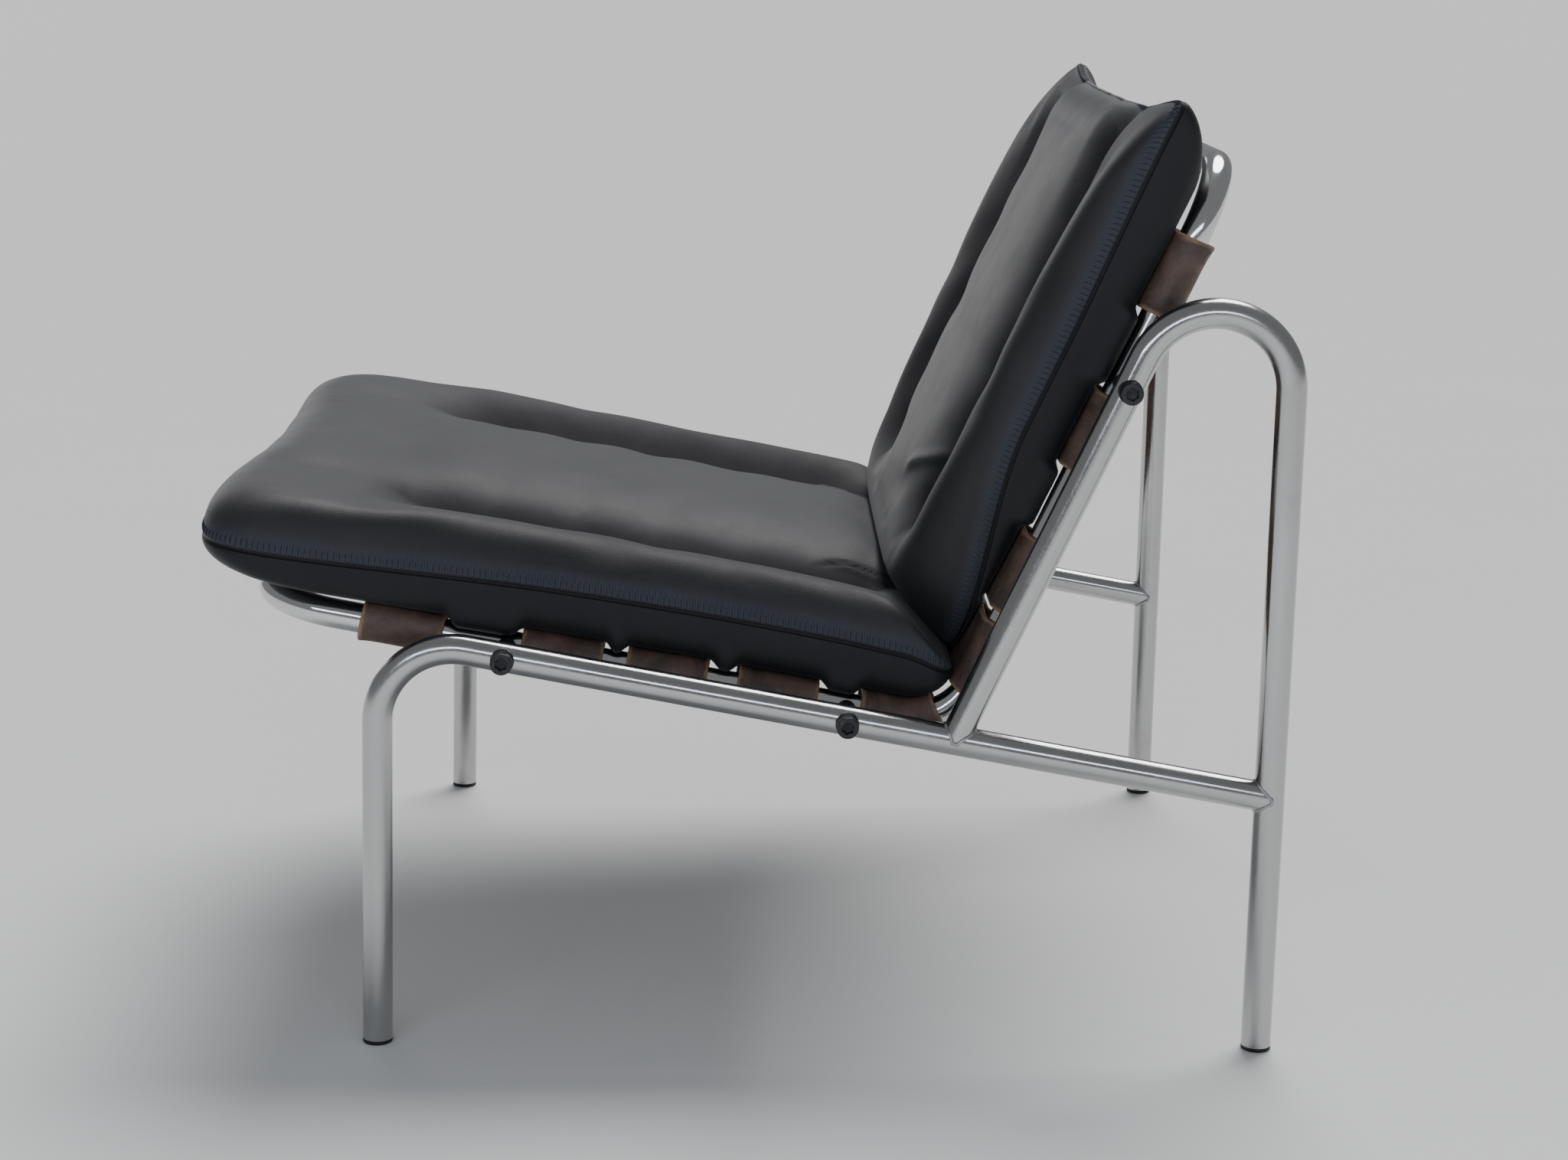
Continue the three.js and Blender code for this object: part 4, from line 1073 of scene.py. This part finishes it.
class BackForm:
    """The back cushion's outline, seam and channels in back measures."""

    name = "back_cushion"
    place = staticmethod(back_points)
    sign = 1
    far_reach = BACK_REACH
    rim_power, seam_power = 9.0, 38.0
    insets, under_insets = (0.028, 0.028, 0.052), (0.018, 0.008, 0.050)
    bellies, under_bellies = (0.001, 0.0, 0.0), (0.0015, 0.001, 0.0)
    side_profile, end_profile = 0.86, 0.90
    under_side_profile, under_end_profile = 0.72, 1.25
    middle_height, crease_height, crest_height, plain_height = 0.0875, 0.0610, 0.0840, 0.0840
    end_heights, gather = (0.0790, 0.0750), 0.0060
    channel_start, channel_end = 0.080, 0.478
    hang_out, hang_down = 0.006, 0.0060

    def near(self, a):
        return np.full_like(a, BACK_FOOT + (0.017 - CUSHION_BASE) * math.tan(BACK_FOOT_TILT))

    def far(self, a):
        return 0.464 + 0.002 * a ** 2 + 0.0185 * np.abs(a) ** 6

    def half(self, share):
        rounded = 1 - np.minimum(np.clip(share, 0, 1) / 0.5, 1)
        waist = lerp(0.222, 0.285, np.sqrt(1 - rounded ** 2))
        return waist + 0.026 * share ** 2

    def channel_x(self, reach):
        return CHANNEL_X - 0.025 * (1 - smoothstep(reach, 0.05, 0.20))

    def far_inset(self, a):
        return lerp(0.036, self.insets[2], smoothstep(np.abs(a), 0.45, 0.95))

    def rounding(self, power, b):
        return power + 0 * b

    def seam(self, reach):
        return lerp(0.017, 0.0485, smoothstep(reach, BACK_FOOT, 0.230)) + 0.004 * smoothstep(reach, 0.28, 0.45)

    def creases(self, x, reach, distance):
        """Dents and a fold where the foot is squeezed against the seat cushion, as moves in height."""
        dents = 0.0045 * np.exp(-((x + 0.095) / 0.030) ** 2 - ((reach - 0.128) / 0.022) ** 2)
        dents += 0.0035 * np.exp(-((x - 0.060) / 0.045) ** 2 - ((reach - 0.112) / 0.018) ** 2)
        fold = ridge(reach - 0.150 - 0.35 * (x - 0.120), x, 0.0060, 0.060, 0.185)
        lift = (0.0030 * fold - dents) * (distance > 0.02)
        return lift

    def kept_clear(self, points):
        """Points held off the plane in which the foot rests on the seat cushion."""
        plane = BACK_FOOT + (points[..., 2] - CUSHION_BASE) * math.tan(BACK_FOOT_TILT)
        points[..., 1] = np.maximum(points[..., 1], plane)
        return points

    def meets(self, points):
        return points[..., 1] < BACK_FOOT + 0.004 + (points[..., 2] - CUSHION_BASE) * math.tan(BACK_FOOT_TILT)


def outline_place(form, a, b, power, insets):
    """Place of square shares (a, b) on superellipse loops within the outline.

    A share's size is the greater of |a| and |b|. The share is divided by the power mean of |a| and |b| over that size,
    which rounds the loop's corners, and stretched to the outline less the insets. Across, it is stretched in two runs,
    so that one column stays on the channel."""
    side_inset, near_inset, far_inset = insets
    size = np.maximum(np.maximum(np.abs(a), np.abs(b)), 1e-9)
    mean = ((np.abs(a) / size) ** power + (np.abs(b) / size) ** power) ** (1 / power)
    mean = np.maximum(mean, 1)
    a, b = a / mean, b / mean
    share = (b + 1) / 2
    reach = lerp(form.near(a) + near_inset, form.far(a) - far_inset, share)
    limit = form.half(share) - side_inset
    channel = np.minimum(form.channel_x(reach), limit * 0.8)
    inner = np.abs(a) / CHANNEL_SHARE * channel
    outer = channel + (np.abs(a) - CHANNEL_SHARE) / (1 - CHANNEL_SHARE) * (limit - channel)
    return np.sign(a) * np.where(np.abs(a) < CHANNEL_SHARE, inner, outer), reach


def face_height(form, a, b, x, reach, sizes):
    """Height of a cushion's face.

    Across the chair the middle falls to the channel by the fourth power of the share of the way. The bolster climbs
    from the channel to its crest by 1.2 t - 0.2 t^6, t the share of its width. Where the channel fades out at its ends,
    the section turns into one plain crown. Every gather pulls the channel's line down and to the side. Towards the
    far end the height is held down to the end's own."""
    wave = 2 * math.pi * reach / sizes.gather_spacing
    lean = np.abs(np.sin(wave / 2 + 0.3 * np.sign(x)))
    crease = form.channel_x(reach) + 0.0030 * lean - 0.002
    rim = form.half((b + 1) / 2) - form.insets[0]
    out = np.clip((np.abs(x) - crease) / (rim - crease), 0, 1)
    gather = form.gather * (lean - 0.75) * np.exp(-np.abs(np.abs(x) - crease) / 0.022)
    depth = (form.crest_height - form.crease_height) * sizes.channel_depth / DRAWN_CHANNEL_DEPTH
    low = form.crest_height - depth
    inner = form.middle_height - (form.middle_height - low) * np.clip(np.abs(x) / crease, 0, 1) ** 4
    outer = low + depth * (1.2 * out - 0.2 * out ** 6)
    sewn = np.where(np.abs(x) < crease, inner, outer) + gather
    plain = form.plain_height + 0.002 * (1 - np.clip(np.abs(x) / rim, 0, 1) ** 2)
    section = lerp(plain, sewn, between(reach, form.channel_start, form.channel_end, 0.05, 0.07))
    end_height = lerp(*form.end_heights, smoothstep(np.abs(a), 0.45, 0.95))
    ahead, behind = np.clip(b, 0, 1) ** 4, np.clip(-b, 0, 1) ** 4
    return section * (1 - ahead) + np.minimum(end_height, section) * ahead - 0.002 * behind


def cushion_grid(form, sizes):
    """Points of a cushion before it is filled out: a face cap, a band round the sides and an underside cap.

    They share their edges. The caps are square grids on superellipse loops, whose power rises from the rim inwards.
    From the face's rim to the seam the band follows a superellipse quarter, and from the seam to the underside
    another. The underside lies on the sling."""
    share_a, share_b = np.meshgrid(np.linspace(-1, 1, CAP_COLUMNS + 1), np.linspace(-1, 1, CAP_ROWS + 1))
    size = np.maximum(np.abs(share_a), np.abs(share_b))
    insets = (form.insets[0], form.insets[1], form.far_inset(share_a))
    power = 1 / (size ** 8 / form.rounding(form.rim_power, share_b) + 1e-3)
    x, reach = outline_place(form, share_a, share_b, power, insets)
    face = np.stack([x, reach, face_height(form, share_a, share_b, x, reach, sizes)], -1)

    power = 1 / (size ** 8 / form.rounding(form.seam_power, share_b) + 1e-3)
    under_x, under_reach = outline_place(form, share_a, share_b, power, form.under_insets)
    under = np.stack([under_x, under_reach, sling_rest(form, under_x, under_reach, sizes)], -1)

    ring = rim_of_cap()
    rim, under_rim = face.reshape(-1, 3)[ring], under.reshape(-1, 3)[ring]
    a, b = share_a.ravel()[ring], share_b.ravel()[ring]
    at_end = smoothstep(b, 0.72, 0.98)
    profile = lerp(form.side_profile, form.end_profile, at_end)
    under_profile = lerp(form.under_side_profile, form.under_end_profile, at_end)
    rows = []
    for step in (*FACE_STEPS, 1.0):
        out = math.sin(step * math.pi / 2) ** profile
        power = 1 / lerp(1 / form.rim_power, 1 / form.seam_power, step ** 2)
        belly = math.sin(math.pi * step ** 1.6)
        insets = (form.insets[0], form.insets[1], form.far_inset(a))
        insets = [inset * (1 - out) - belly * swell for inset, swell in zip(insets, form.bellies)]
        row_x, row_reach = outline_place(form, a, b, form.rounding(power, b), insets)
        height = lerp(form.seam(row_reach), rim[:, 2], math.cos(step * math.pi / 2) ** profile)
        rows.append(np.stack([row_x, row_reach, height], -1))
    seam_row = len(rows) - 1
    for step in SIDE_STEPS:
        out = math.cos(step * math.pi / 2) ** under_profile
        belly = math.sin(math.pi * step ** 0.8)
        insets = [inset * (1 - out) - belly * swell for inset, swell in zip(form.under_insets, form.under_bellies)]
        row_x, row_reach = outline_place(form, a, b, form.rounding(form.seam_power, b), insets)
        height = lerp(form.seam(row_reach), under_rim[:, 2], math.sin(step * math.pi / 2) ** under_profile)
        rows.append(np.stack([row_x, row_reach, height], -1))
    points = form.kept_clear(np.concatenate([face.reshape(-1, 3), np.concatenate(rows), under.reshape(-1, 3)]))
    return points, seam_row, len(rows)


def rim_of_cap():
    """Indices round the edge of a cap's grid, once."""
    across, rows = CAP_COLUMNS + 1, CAP_ROWS
    return np.concatenate([
        np.arange(CAP_COLUMNS),
        np.arange(rows) * across + CAP_COLUMNS,
        rows * across + np.arange(CAP_COLUMNS, 0, -1),
        np.arange(rows, 0, -1) * across,
    ])


def cushion_faces(band_rows):
    """Quads of both caps and the band, and the band's indices with the caps' rims as its first and last row."""
    ring = rim_of_cap()
    count = len(ring)
    under_start = CAP_POINTS + band_rows * count
    band = CAP_POINTS + np.arange(band_rows * count).reshape(band_rows, count)
    band = np.concatenate([ring[None], band, under_start + ring[None]])
    after = np.roll(band, -1, 1)
    sides = np.stack([band[:-1], band[1:], after[1:], after[:-1]], -1).reshape(-1, 4)
    top = grid_faces(CAP_ROWS + 1, CAP_COLUMNS + 1)
    under = top[:, ::-1] + under_start
    return np.concatenate([top, sides, under]), band


def held_points(form, points, seam):
    """How firmly each point is held while the cover fills: wholly on the seam, the sewn channels, the underside and
    where the two cushions meet."""
    held = np.zeros(len(points))
    held[seam] = 1.0
    held[-CAP_POINTS:] = 1.0
    reach = points[:CAP_POINTS, 1].reshape(CAP_ROWS + 1, CAP_COLUMNS + 1)
    sewn = (reach > form.channel_start + 0.035) & (reach < form.channel_end - 0.030)
    for column in (CAP_COLUMNS // 2 - CHANNEL_COLUMN, CAP_COLUMNS // 2 + CHANNEL_COLUMN):
        held[np.flatnonzero(sewn[:, column]) * (CAP_COLUMNS + 1) + column] = 1.0
    held[form.meets(points)] = 1.0
    return held


def filled_out(form, points, faces, held):
    """The cushion with the folds that air pressure leaves in its cover, with no point moved further than allowed.

    The cover is a little longer than the seams that hold it. The folds are the cover's moves, evened a little, less
    their average over some 30 mm round about, so the cushion's sections stay as they are given."""
    mesh = bpy.data.meshes.new(form.name + "_cover")
    mesh.from_pydata(points.tolist(), [], faces.tolist())
    cover = bpy.data.objects.new(form.name + "_cover", mesh)
    scene = bpy.context.scene
    scene.collection.objects.link(cover)
    group = cover.vertex_groups.new(name="held")
    group.add(np.flatnonzero(held).tolist(), 1.0, "REPLACE")
    cloth = cover.modifiers.new("Cloth", "CLOTH")
    settings = cloth.settings
    settings.quality = 6
    settings.mass = 0.25
    settings.tension_stiffness = settings.compression_stiffness = 40
    settings.shear_stiffness = 20
    settings.bending_stiffness = 12
    settings.air_damping = 2
    settings.vertex_group_mass = "held"
    settings.use_pressure = True
    settings.uniform_pressure_force = 3.0
    settings.shrink_min = -0.012
    settings.effector_weights.gravity = 0
    cloth.collision_settings.use_collision = False
    cloth.point_cache.frame_start, cloth.point_cache.frame_end = 1, 20
    for step in range(1, 21):
        scene.frame_set(step)
    settled = cover.evaluated_get(bpy.context.evaluated_depsgraph_get()).data
    shift = read(settled.vertices, "co", 3) - points
    scene.frame_set(1)
    bpy.data.objects.remove(cover)
    bpy.data.meshes.remove(mesh)
    length = np.maximum(np.linalg.norm(shift, axis=1, keepdims=True), 1e-9)
    shift *= np.minimum(1, MOST_FILLING / length)
    folds = 0.95 * (evened(shift, faces, 18) - evened(shift, faces, 80))
    loose = 1 - smoothstep(evened(held[:, None], faces, 10), 0.01, 0.22)
    return points + folds * loose


def evened(values, faces, times):
    """Values averaged with their neighbours' along the faces' edges, a number of times."""
    first, second = faces[:, [0, 1, 2, 3]].ravel(), faces[:, [1, 2, 3, 0]].ravel()
    count = np.bincount(first, minlength=len(values)) + np.bincount(second, minlength=len(values))
    for _ in range(times):
        total = np.stack([
            np.bincount(first, values[second, axis], len(values))
            + np.bincount(second, values[first, axis], len(values))
            for axis in range(values.shape[1])
        ], -1)
        values = 0.5 * values + 0.5 * total / count[:, None]
    return values


def smoother_mesh(name, points, faces, uv):
    """One subdivision of a mesh, applied, with its surface map."""
    base = bpy.data.meshes.new(name + "_base")
    base.from_pydata(points.tolist(), [], faces.tolist())
    layer = base.uv_layers.new(name="Surface")
    layer.data.foreach_set("uv", uv.reshape(-1, 2).ravel())
    holder = bpy.data.objects.new(name + "_base", base)
    bpy.context.scene.collection.objects.link(holder)
    subdivision = holder.modifiers.new("Subdivision", "SUBSURF")
    subdivision.levels = subdivision.render_levels = 1
    subdivision.uv_smooth = "NONE"
    mesh = bpy.data.meshes.new_from_object(holder.evaluated_get(bpy.context.evaluated_depsgraph_get()))
    mesh.name = name
    bpy.data.objects.remove(holder)
    bpy.data.meshes.remove(base)
    return mesh


def seam_places(rows, seam_row, spacing):
    """Distance along the seam of every column of the band, the seam's length, and every point's distance off the seam.

    The distances along are stretched a little, so that a whole number of stitches goes round."""
    loop = rows[seam_row]
    steps = np.linalg.norm(np.roll(loop, -1, 0) - loop, axis=1)
    length = round(steps.sum() / spacing) * spacing
    along = np.concatenate([[0], np.cumsum(steps)[:-1]]) * (length / steps.sum())
    gaps = np.linalg.norm(np.diff(rows, axis=0), axis=2)
    off = np.concatenate([np.zeros((1, gaps.shape[1])), -np.cumsum(gaps, 0)])
    return along, length, off - off[seam_row]


def seam_map(count, faces, band, along, off, length):
    """Surface map of the quads' corners: the place along the seam and off it, running on over the seam's start.

    Points in a cap, off the band, are 80 mm off the seam."""
    surface = np.zeros((count, 2))
    surface[:, 1] = 0.08
    surface[count // 2:, 1] = -0.08
    surface[band, 0] = along
    surface[band, 1] = off
    corners = surface[faces]
    wraps = np.ptp(corners[..., 0], axis=1, keepdims=True) > length / 2
    corners[..., 0] += length * (wraps & (corners[..., 0] < length / 2))
    return corners


# Painted shade for the cushions' leather, strongest in the channels
def painted_channel_shade(form, x, reach, distance):
    """One in the channels, falling off them by a bell that is twice as wide outward, and faded out at their ends."""
    out = np.abs(x) - form.channel_x(reach)
    out = np.where(out > 0, 0.5 * out, -out)
    ends = between(reach, form.channel_start - 0.03, form.channel_end + 0.02, 0.10, 0.10)
    return np.exp(-(out / PAINTED_SHADE_REACH) ** 2) * ends * (distance > 0.03)


def build_cushion(form, sizes, colours):
    points, seam_row, band_rows = cushion_grid(form, sizes)
    faces, band = cushion_faces(band_rows)
    seam_row += 1
    points = filled_out(form, points, faces, held_points(form, points, band[seam_row]))
    points = form.kept_clear(points)
    points[:, 2] = np.maximum(points[:, 2], sling_rest(form, points[:, 0], points[:, 1], sizes))

    rows = points[band]
    along, length, off = seam_places(rows, seam_row, sizes.stitch_spacing)
    name = form.name + "_leather"
    mesh = smoother_mesh(name, points, faces, seam_map(len(points), faces, band, along, off, length))
    distance = np.full(len(mesh.vertices), 1.0)
    distance[read(mesh.loops, "vertex_index", kind=int)] = read(mesh.uv_layers["Surface"].data, "uv", 2)[:, 1]
    fine, normals = read(mesh.vertices, "co", 3), read(mesh.vertices, "normal", 3)
    fine -= normals * (SEAM_GROOVE * np.exp(-(distance / 0.0016) ** 2))[:, None]
    fine[:, 2] += form.creases(fine[:, 0], fine[:, 1], distance)
    fine = settled_between(form, fine, distance)
    mesh.vertices.foreach_set("co", form.place(*fine.T).ravel())
    mesh.update()
    if mesh_volume(mesh) < 0:
        mesh.flip_normals()
    mesh.polygons.foreach_set("use_smooth", np.ones(len(mesh.polygons), bool))
    # Painted shade in and beside the channels, kept in the channel attribute for the cover's colour
    shade = painted_channel_shade(form, fine[:, 0], fine[:, 1], distance)
    mesh.attributes.new("channel", "FLOAT", "POINT").data.foreach_set("value", shade.astype(np.float32))
    cover = cover_finish(form.name + "_cover", colours.cover, colours.cover_side_shade, sizes.stitch_spacing)
    add_piece(name, mesh, cover, [form.name])

    stitches = cross_stitches(form.place(*np.moveaxis(rows, -1, 0)), off, along, length, sizes.stitch_spacing)
    name = form.name + "_stitches"
    add_piece(name, mesh_from(name, *stitches), thread_finish(name))


def settled_between(form, points, distance):
    """A cushion's lower edge hanging down between the straps.

    Off is the height over the sling, taken towards the bend's centre where the ring turns. Points low on the side
    panel move out and down. Whatever then lies too near the ring's line is moved straight away from it, by the
    clearance over its distance, and stays above the spacers, whose rise is the root of their squared clearance less
    the squared distance along."""
    x, reach, height = points.T
    inset, rise = np.minimum(reach - BEND_REACH, 0), BEND_RADIUS - height
    radius = np.hypot(inset, np.maximum(rise, 0.001))
    off = BEND_RADIUS - radius
    moved = (off < 0.036) & (rise > 0) & (distance < 0)
    loose = between_straps(form, reach, height)
    if form.sign < 0:
        loose = loose * smoothstep(reach, 0.010, 0.070)
    length = form.far(0 * x) - form.near(0 * x)
    outer = form.half(np.clip((reach - form.near(0 * x)) / length, 0, 1)) - np.abs(x)
    low = smoothstep(off, 0.034, 0.019) * smoothstep(outer, 0.019, 0.008)
    across = np.abs(x) + low * form.hang_out * loose - HALF_RING
    fallen = off - low * form.hang_down * loose
    fallen = fallen - EDGE_FALL * loose * smoothstep(off, 0.030, 0.017) * (1 - low)
    clear = lerp(STRAP_CLEARANCE + 0.0019 * np.clip(across / 0.010, 0, 1), RING_CLEARANCE, loose)
    span = np.hypot(across, fallen)
    push = np.where(np.abs(x) > HALF_RING - 0.030, np.maximum(clear / np.maximum(span, 1e-4), 1), 1)
    across, fallen = across * push, fallen * push
    for _, direction, bolt in BOLTS:
        if (direction == "seat") == (form.sign < 0):
            rise_over = np.sqrt(np.maximum(SPACER_CLEARANCE ** 2 - (reach - bolt) ** 2, 0))
            fallen = np.where(across > 0.007, np.maximum(fallen, rise_over), fallen)
    scale = np.where(moved, (BEND_RADIUS - fallen) / radius, 1)
    x = np.where(moved, np.sign(x) * (HALF_RING + across), x)
    return np.stack([x, reach - inset + inset * scale, BEND_RADIUS - rise * scale], -1)


def ridge(across, along, width, start, end):
    """A soft fold: a bell across its line, faded in and out along it."""
    fade = 0.3 * (end - start)
    return np.exp(-(across / width) ** 2) * between(along, start, end, fade, fade)


def mesh_volume(mesh):
    """Signed volume of a closed mesh: over its triangles, a sixth of a corner dotted with the others' cross product."""
    mesh.calc_loop_triangles()
    corners = read(mesh.loop_triangles, "vertices", 3, int)
    a, b, c = np.moveaxis(read(mesh.vertices, "co", 3)[corners], 1, 0)
    return np.einsum("ij,ij->", a, np.cross(b, c)) / 6


def cross_stitches(rows, off, along, length, spacing):
    """Short threads square to the seam on its face side, one at every spacing.

    Each is a row of small rings from 2 to 8.5 mm off the seam, raised by a sine along its length, with both ends in
    the leather. Their places are read off the band's grid between its columns and rows."""
    count = round(length / spacing)
    at = (np.arange(count) + 0.5) * spacing
    column = np.interp(at, np.append(along, length), np.arange(len(along) + 1))
    low = np.floor(column).astype(int) % len(along)
    high = (low + 1) % len(along)
    share = (column - np.floor(column))[None, :, None]
    lines = lerp(rows[:, low], rows[:, high], share)
    offs = lerp(off[:, low], off[:, high], share[..., 0])
    wanted = np.linspace(0.0021, 0.0085, 6)
    index = np.stack([np.clip((offs >= want).sum(0) - 1, 0, len(rows) - 2) for want in wanted])
    pick = np.arange(count)[None]
    upper, lower = offs[index, pick], offs[index + 1, pick]
    part = ((upper - wanted[:, None]) / (upper - lower))[..., None]
    stations = lerp(lines[index, pick], lines[index + 1, pick], part)
    middle = rows.reshape(-1, 3).mean(0)
    run = unit(stations[-1] - stations[0])
    seamwise = unit(np.roll(stations[2], -1, 0) - np.roll(stations[2], 1, 0))
    out = unit(np.cross(run, seamwise))
    out *= np.sign(np.einsum("ij,ij->i", out, stations[2] - middle))[:, None]
    rise = 0.00055 * np.sin(np.linspace(0, math.pi, 6)) - 0.00015
    stations = stations + rise[:, None, None] * out
    angle = np.linspace(0, 2 * math.pi, 5, endpoint=False)
    radius = THREAD_RADIUS * (1 - 0.45 * np.abs(np.linspace(-1, 1, 6)) ** 3)
    side = unit(np.cross(run, out))
    spokes = np.cos(angle)[:, None, None] * out + np.sin(angle)[:, None, None] * side
    rings = stations[:, None] + radius[:, None, None, None] * spokes
    rings = rings.transpose(2, 0, 1, 3)
    points, faces = rings.reshape(-1, 3), grid_faces(6, 5, wrap_columns=True)
    start = np.array([[0, 1, 2, 2], [0, 2, 3, 3], [0, 3, 4, 4]])
    end = len(points) // count - 5 + start[:, [0, 2, 1, 1]]
    one = np.concatenate([faces, start, end])
    return points, (one[None] + (np.arange(count) * (len(points) // count))[:, None, None]).reshape(-1, 4)


# Floor, lights and camera. The camera is the one fitted to the photograph, whose picture is 2048 pixels wide.

HALF_FLOOR = 90.0
SUNS = (("skylight", (0.62, -0.22, -1.0), 2.8, 38), ("far_windows", (0.9, 0.40, -0.16), 0.27, 26))
CAMERA_PLACE = (2.2384, -0.0001, 0.798)
CAMERA_YAW, CAMERA_PITCH, CAMERA_ROLL = math.radians(0.86), math.radians(13.03), math.radians(0.81)
PICTURE_WIDTH, FOCAL_LENGTH, SENSOR_WIDTH = 2048, 3602, 36.0


def plain_finish(name, colour, roughness):
    """Matte paint with a faint mottle."""
    nodes = Nodes(name)
    mottle = nodes.noise(nodes.object_place(), 3.0, 4.0, 0.6)
    nodes.colour(nodes.mix(mottle, scaled(colour, 0.985), scaled(colour, 1.01)))
    nodes.roughness(roughness)
    nodes.set(Specular_IOR_Level=0.25)
    return nodes.material


def soft_light(name, place, target, width, height, power, colour=(1, 1, 1)):
    light = bpy.data.lights.new(name, "AREA")
    light.shape = "RECTANGLE"
    light.size, light.size_y = width, height
    light.energy = power
    light.color = colour
    lamp = bpy.data.objects.new(name, light)
    lamp.location = place
    lamp.rotation_euler = (Vector(target) - Vector(place)).to_track_quat("-Z", "Y").to_euler()
    lamp.visible_camera = False
    bpy.context.scene.collection.objects.link(lamp)


def build_stage(sizes, colours):
    scene = bpy.context.scene
    corners = [(x * HALF_FLOOR, y * HALF_FLOOR, 0) for x, y in ((-1, -1), (1, -1), (1, 1), (-1, 1))]
    mesh = bpy.data.meshes.new("floor")
    mesh.from_pydata(corners, [], [(0, 1, 2, 3)])
    mesh.materials.append(plain_finish("floor_paint", tuple(colours.floor), 0.75))
    floor = bpy.data.objects.new("floor", mesh)
    scene.collection.objects.link(floor)

    world = bpy.data.worlds.new("soft_room")
    world.use_nodes = True
    background = world.node_tree.nodes["Background"]
    background.inputs["Color"].default_value = (0.80, 0.82, 0.84, 1)
    background.inputs["Strength"].default_value = 0.29
    scene.world = world

    for name, direction, energy, angle in SUNS:
        light = bpy.data.lights.new(name, "SUN")
        light.energy, light.angle = energy, math.radians(angle)
        lamp = bpy.data.objects.new(name, light)
        lamp.rotation_euler = Vector(direction).to_track_quat("-Z", "Y").to_euler()
        scene.collection.objects.link(lamp)
    soft_light("near_windows", (2.7, -0.3, 1.35), (0.0, 0.0, 0.35), 3.2, 0.35, 20, (0.76, 0.86, 1.0))

    level = math.cos(CAMERA_PITCH)
    forward = Vector((-level * math.cos(CAMERA_YAW), level * math.sin(CAMERA_YAW), -math.sin(CAMERA_PITCH)))
    right = forward.cross(Vector((0, 0, 1))).normalized()
    up = right.cross(forward)
    rolled_right = math.cos(CAMERA_ROLL) * right + math.sin(CAMERA_ROLL) * up
    rolled_up = -math.sin(CAMERA_ROLL) * right + math.cos(CAMERA_ROLL) * up
    turn = Matrix((rolled_right, rolled_up, -forward)).transposed()
    lens = bpy.data.cameras.new("photo_camera")
    lens.sensor_width, lens.sensor_fit = SENSOR_WIDTH, "HORIZONTAL"
    lens.lens = SENSOR_WIDTH * FOCAL_LENGTH / PICTURE_WIDTH
    camera = bpy.data.objects.new("photo_camera", lens)
    camera.matrix_world = Matrix.Translation(CAMERA_PLACE) @ turn.to_4x4()
    scene.collection.objects.link(camera)
    scene.camera = camera


# Add-on: one operator for each piece or group, a panel that lists them, and the run

def maker(idname, label, description, build):
    """An operator class that builds one group of pieces from the scene's sizes and colours."""

    def execute(self, context):
        build(context.scene.chair_sizes, context.scene.chair_colours)
        return {"FINISHED"}

    return type(
        "CHAIR_OT_" + idname,
        (bpy.types.Operator,),
        {"bl_idname": "chair." + idname, "bl_label": label, "__doc__": description, "execute": execute},
    )


def build_seat_cushion(sizes, colours):
    build_cushion(SeatForm(), sizes, colours)


def build_back_cushion(sizes, colours):
    build_cushion(BackForm(), sizes, colours)


OPERATORS = [
    maker("side_frames", "Side frames", "Build the bent and welded tubes of both side frames", build_side_frames),
    maker("sling_ring", "Sling ring", "Build the bright tube ring that carries the sling", build_sling_ring),
    maker("bolted_joints", "Bolted joints", "Build the cap screws, saddle washers and spacers", build_bolted_joints),
    maker("glides", "Glides", "Build the glides under the legs", build_glides),
    maker("straps", "Straps", "Build the leather straps round the ring", build_straps),
    maker("seat_cushion", "Seat cushion", "Build and fill the seat cushion", build_seat_cushion),
    maker("back_cushion", "Back cushion", "Build and fill the back cushion", build_back_cushion),
    maker("stage", "Floor, lights and camera", "Set up the floor, the soft lights and the camera", build_stage),
]


class CHAIR_PT_pieces(bpy.types.Panel):
    """Sidebar panel with the chair's sizes, colours and pieces."""

    bl_idname = "CHAIR_PT_pieces"
    bl_label = "Lounge chair"
    bl_space_type = "VIEW_3D"
    bl_region_type = "UI"
    bl_category = "Chair"

    def draw(self, context):
        for group in (context.scene.chair_sizes, context.scene.chair_colours):
            column = self.layout.column()
            for name in group.bl_rna.properties.keys():
                if name not in ("rna_type", "name"):
                    column.prop(group, name)
        column = self.layout.column()
        for operator in OPERATORS:
            column.operator(operator.bl_idname)


CLASSES = [ChairSizes, ChairColours, *OPERATORS, CHAIR_PT_pieces]


def register():
    for one in CLASSES:
        bpy.utils.register_class(one)
    bpy.types.Scene.chair_sizes = bpy.props.PointerProperty(type=ChairSizes)
    bpy.types.Scene.chair_colours = bpy.props.PointerProperty(type=ChairColours)


def unregister():
    del bpy.types.Scene.chair_colours
    del bpy.types.Scene.chair_sizes
    for one in reversed(CLASSES):
        bpy.utils.unregister_class(one)


def main():
    register()
    for build in (
        bpy.ops.chair.side_frames,
        bpy.ops.chair.sling_ring,
        bpy.ops.chair.bolted_joints,
        bpy.ops.chair.glides,
        bpy.ops.chair.straps,
        bpy.ops.chair.seat_cushion,
        bpy.ops.chair.back_cushion,
        bpy.ops.chair.stage,
    ):
        build()


if __name__ == "__main__":
    main()
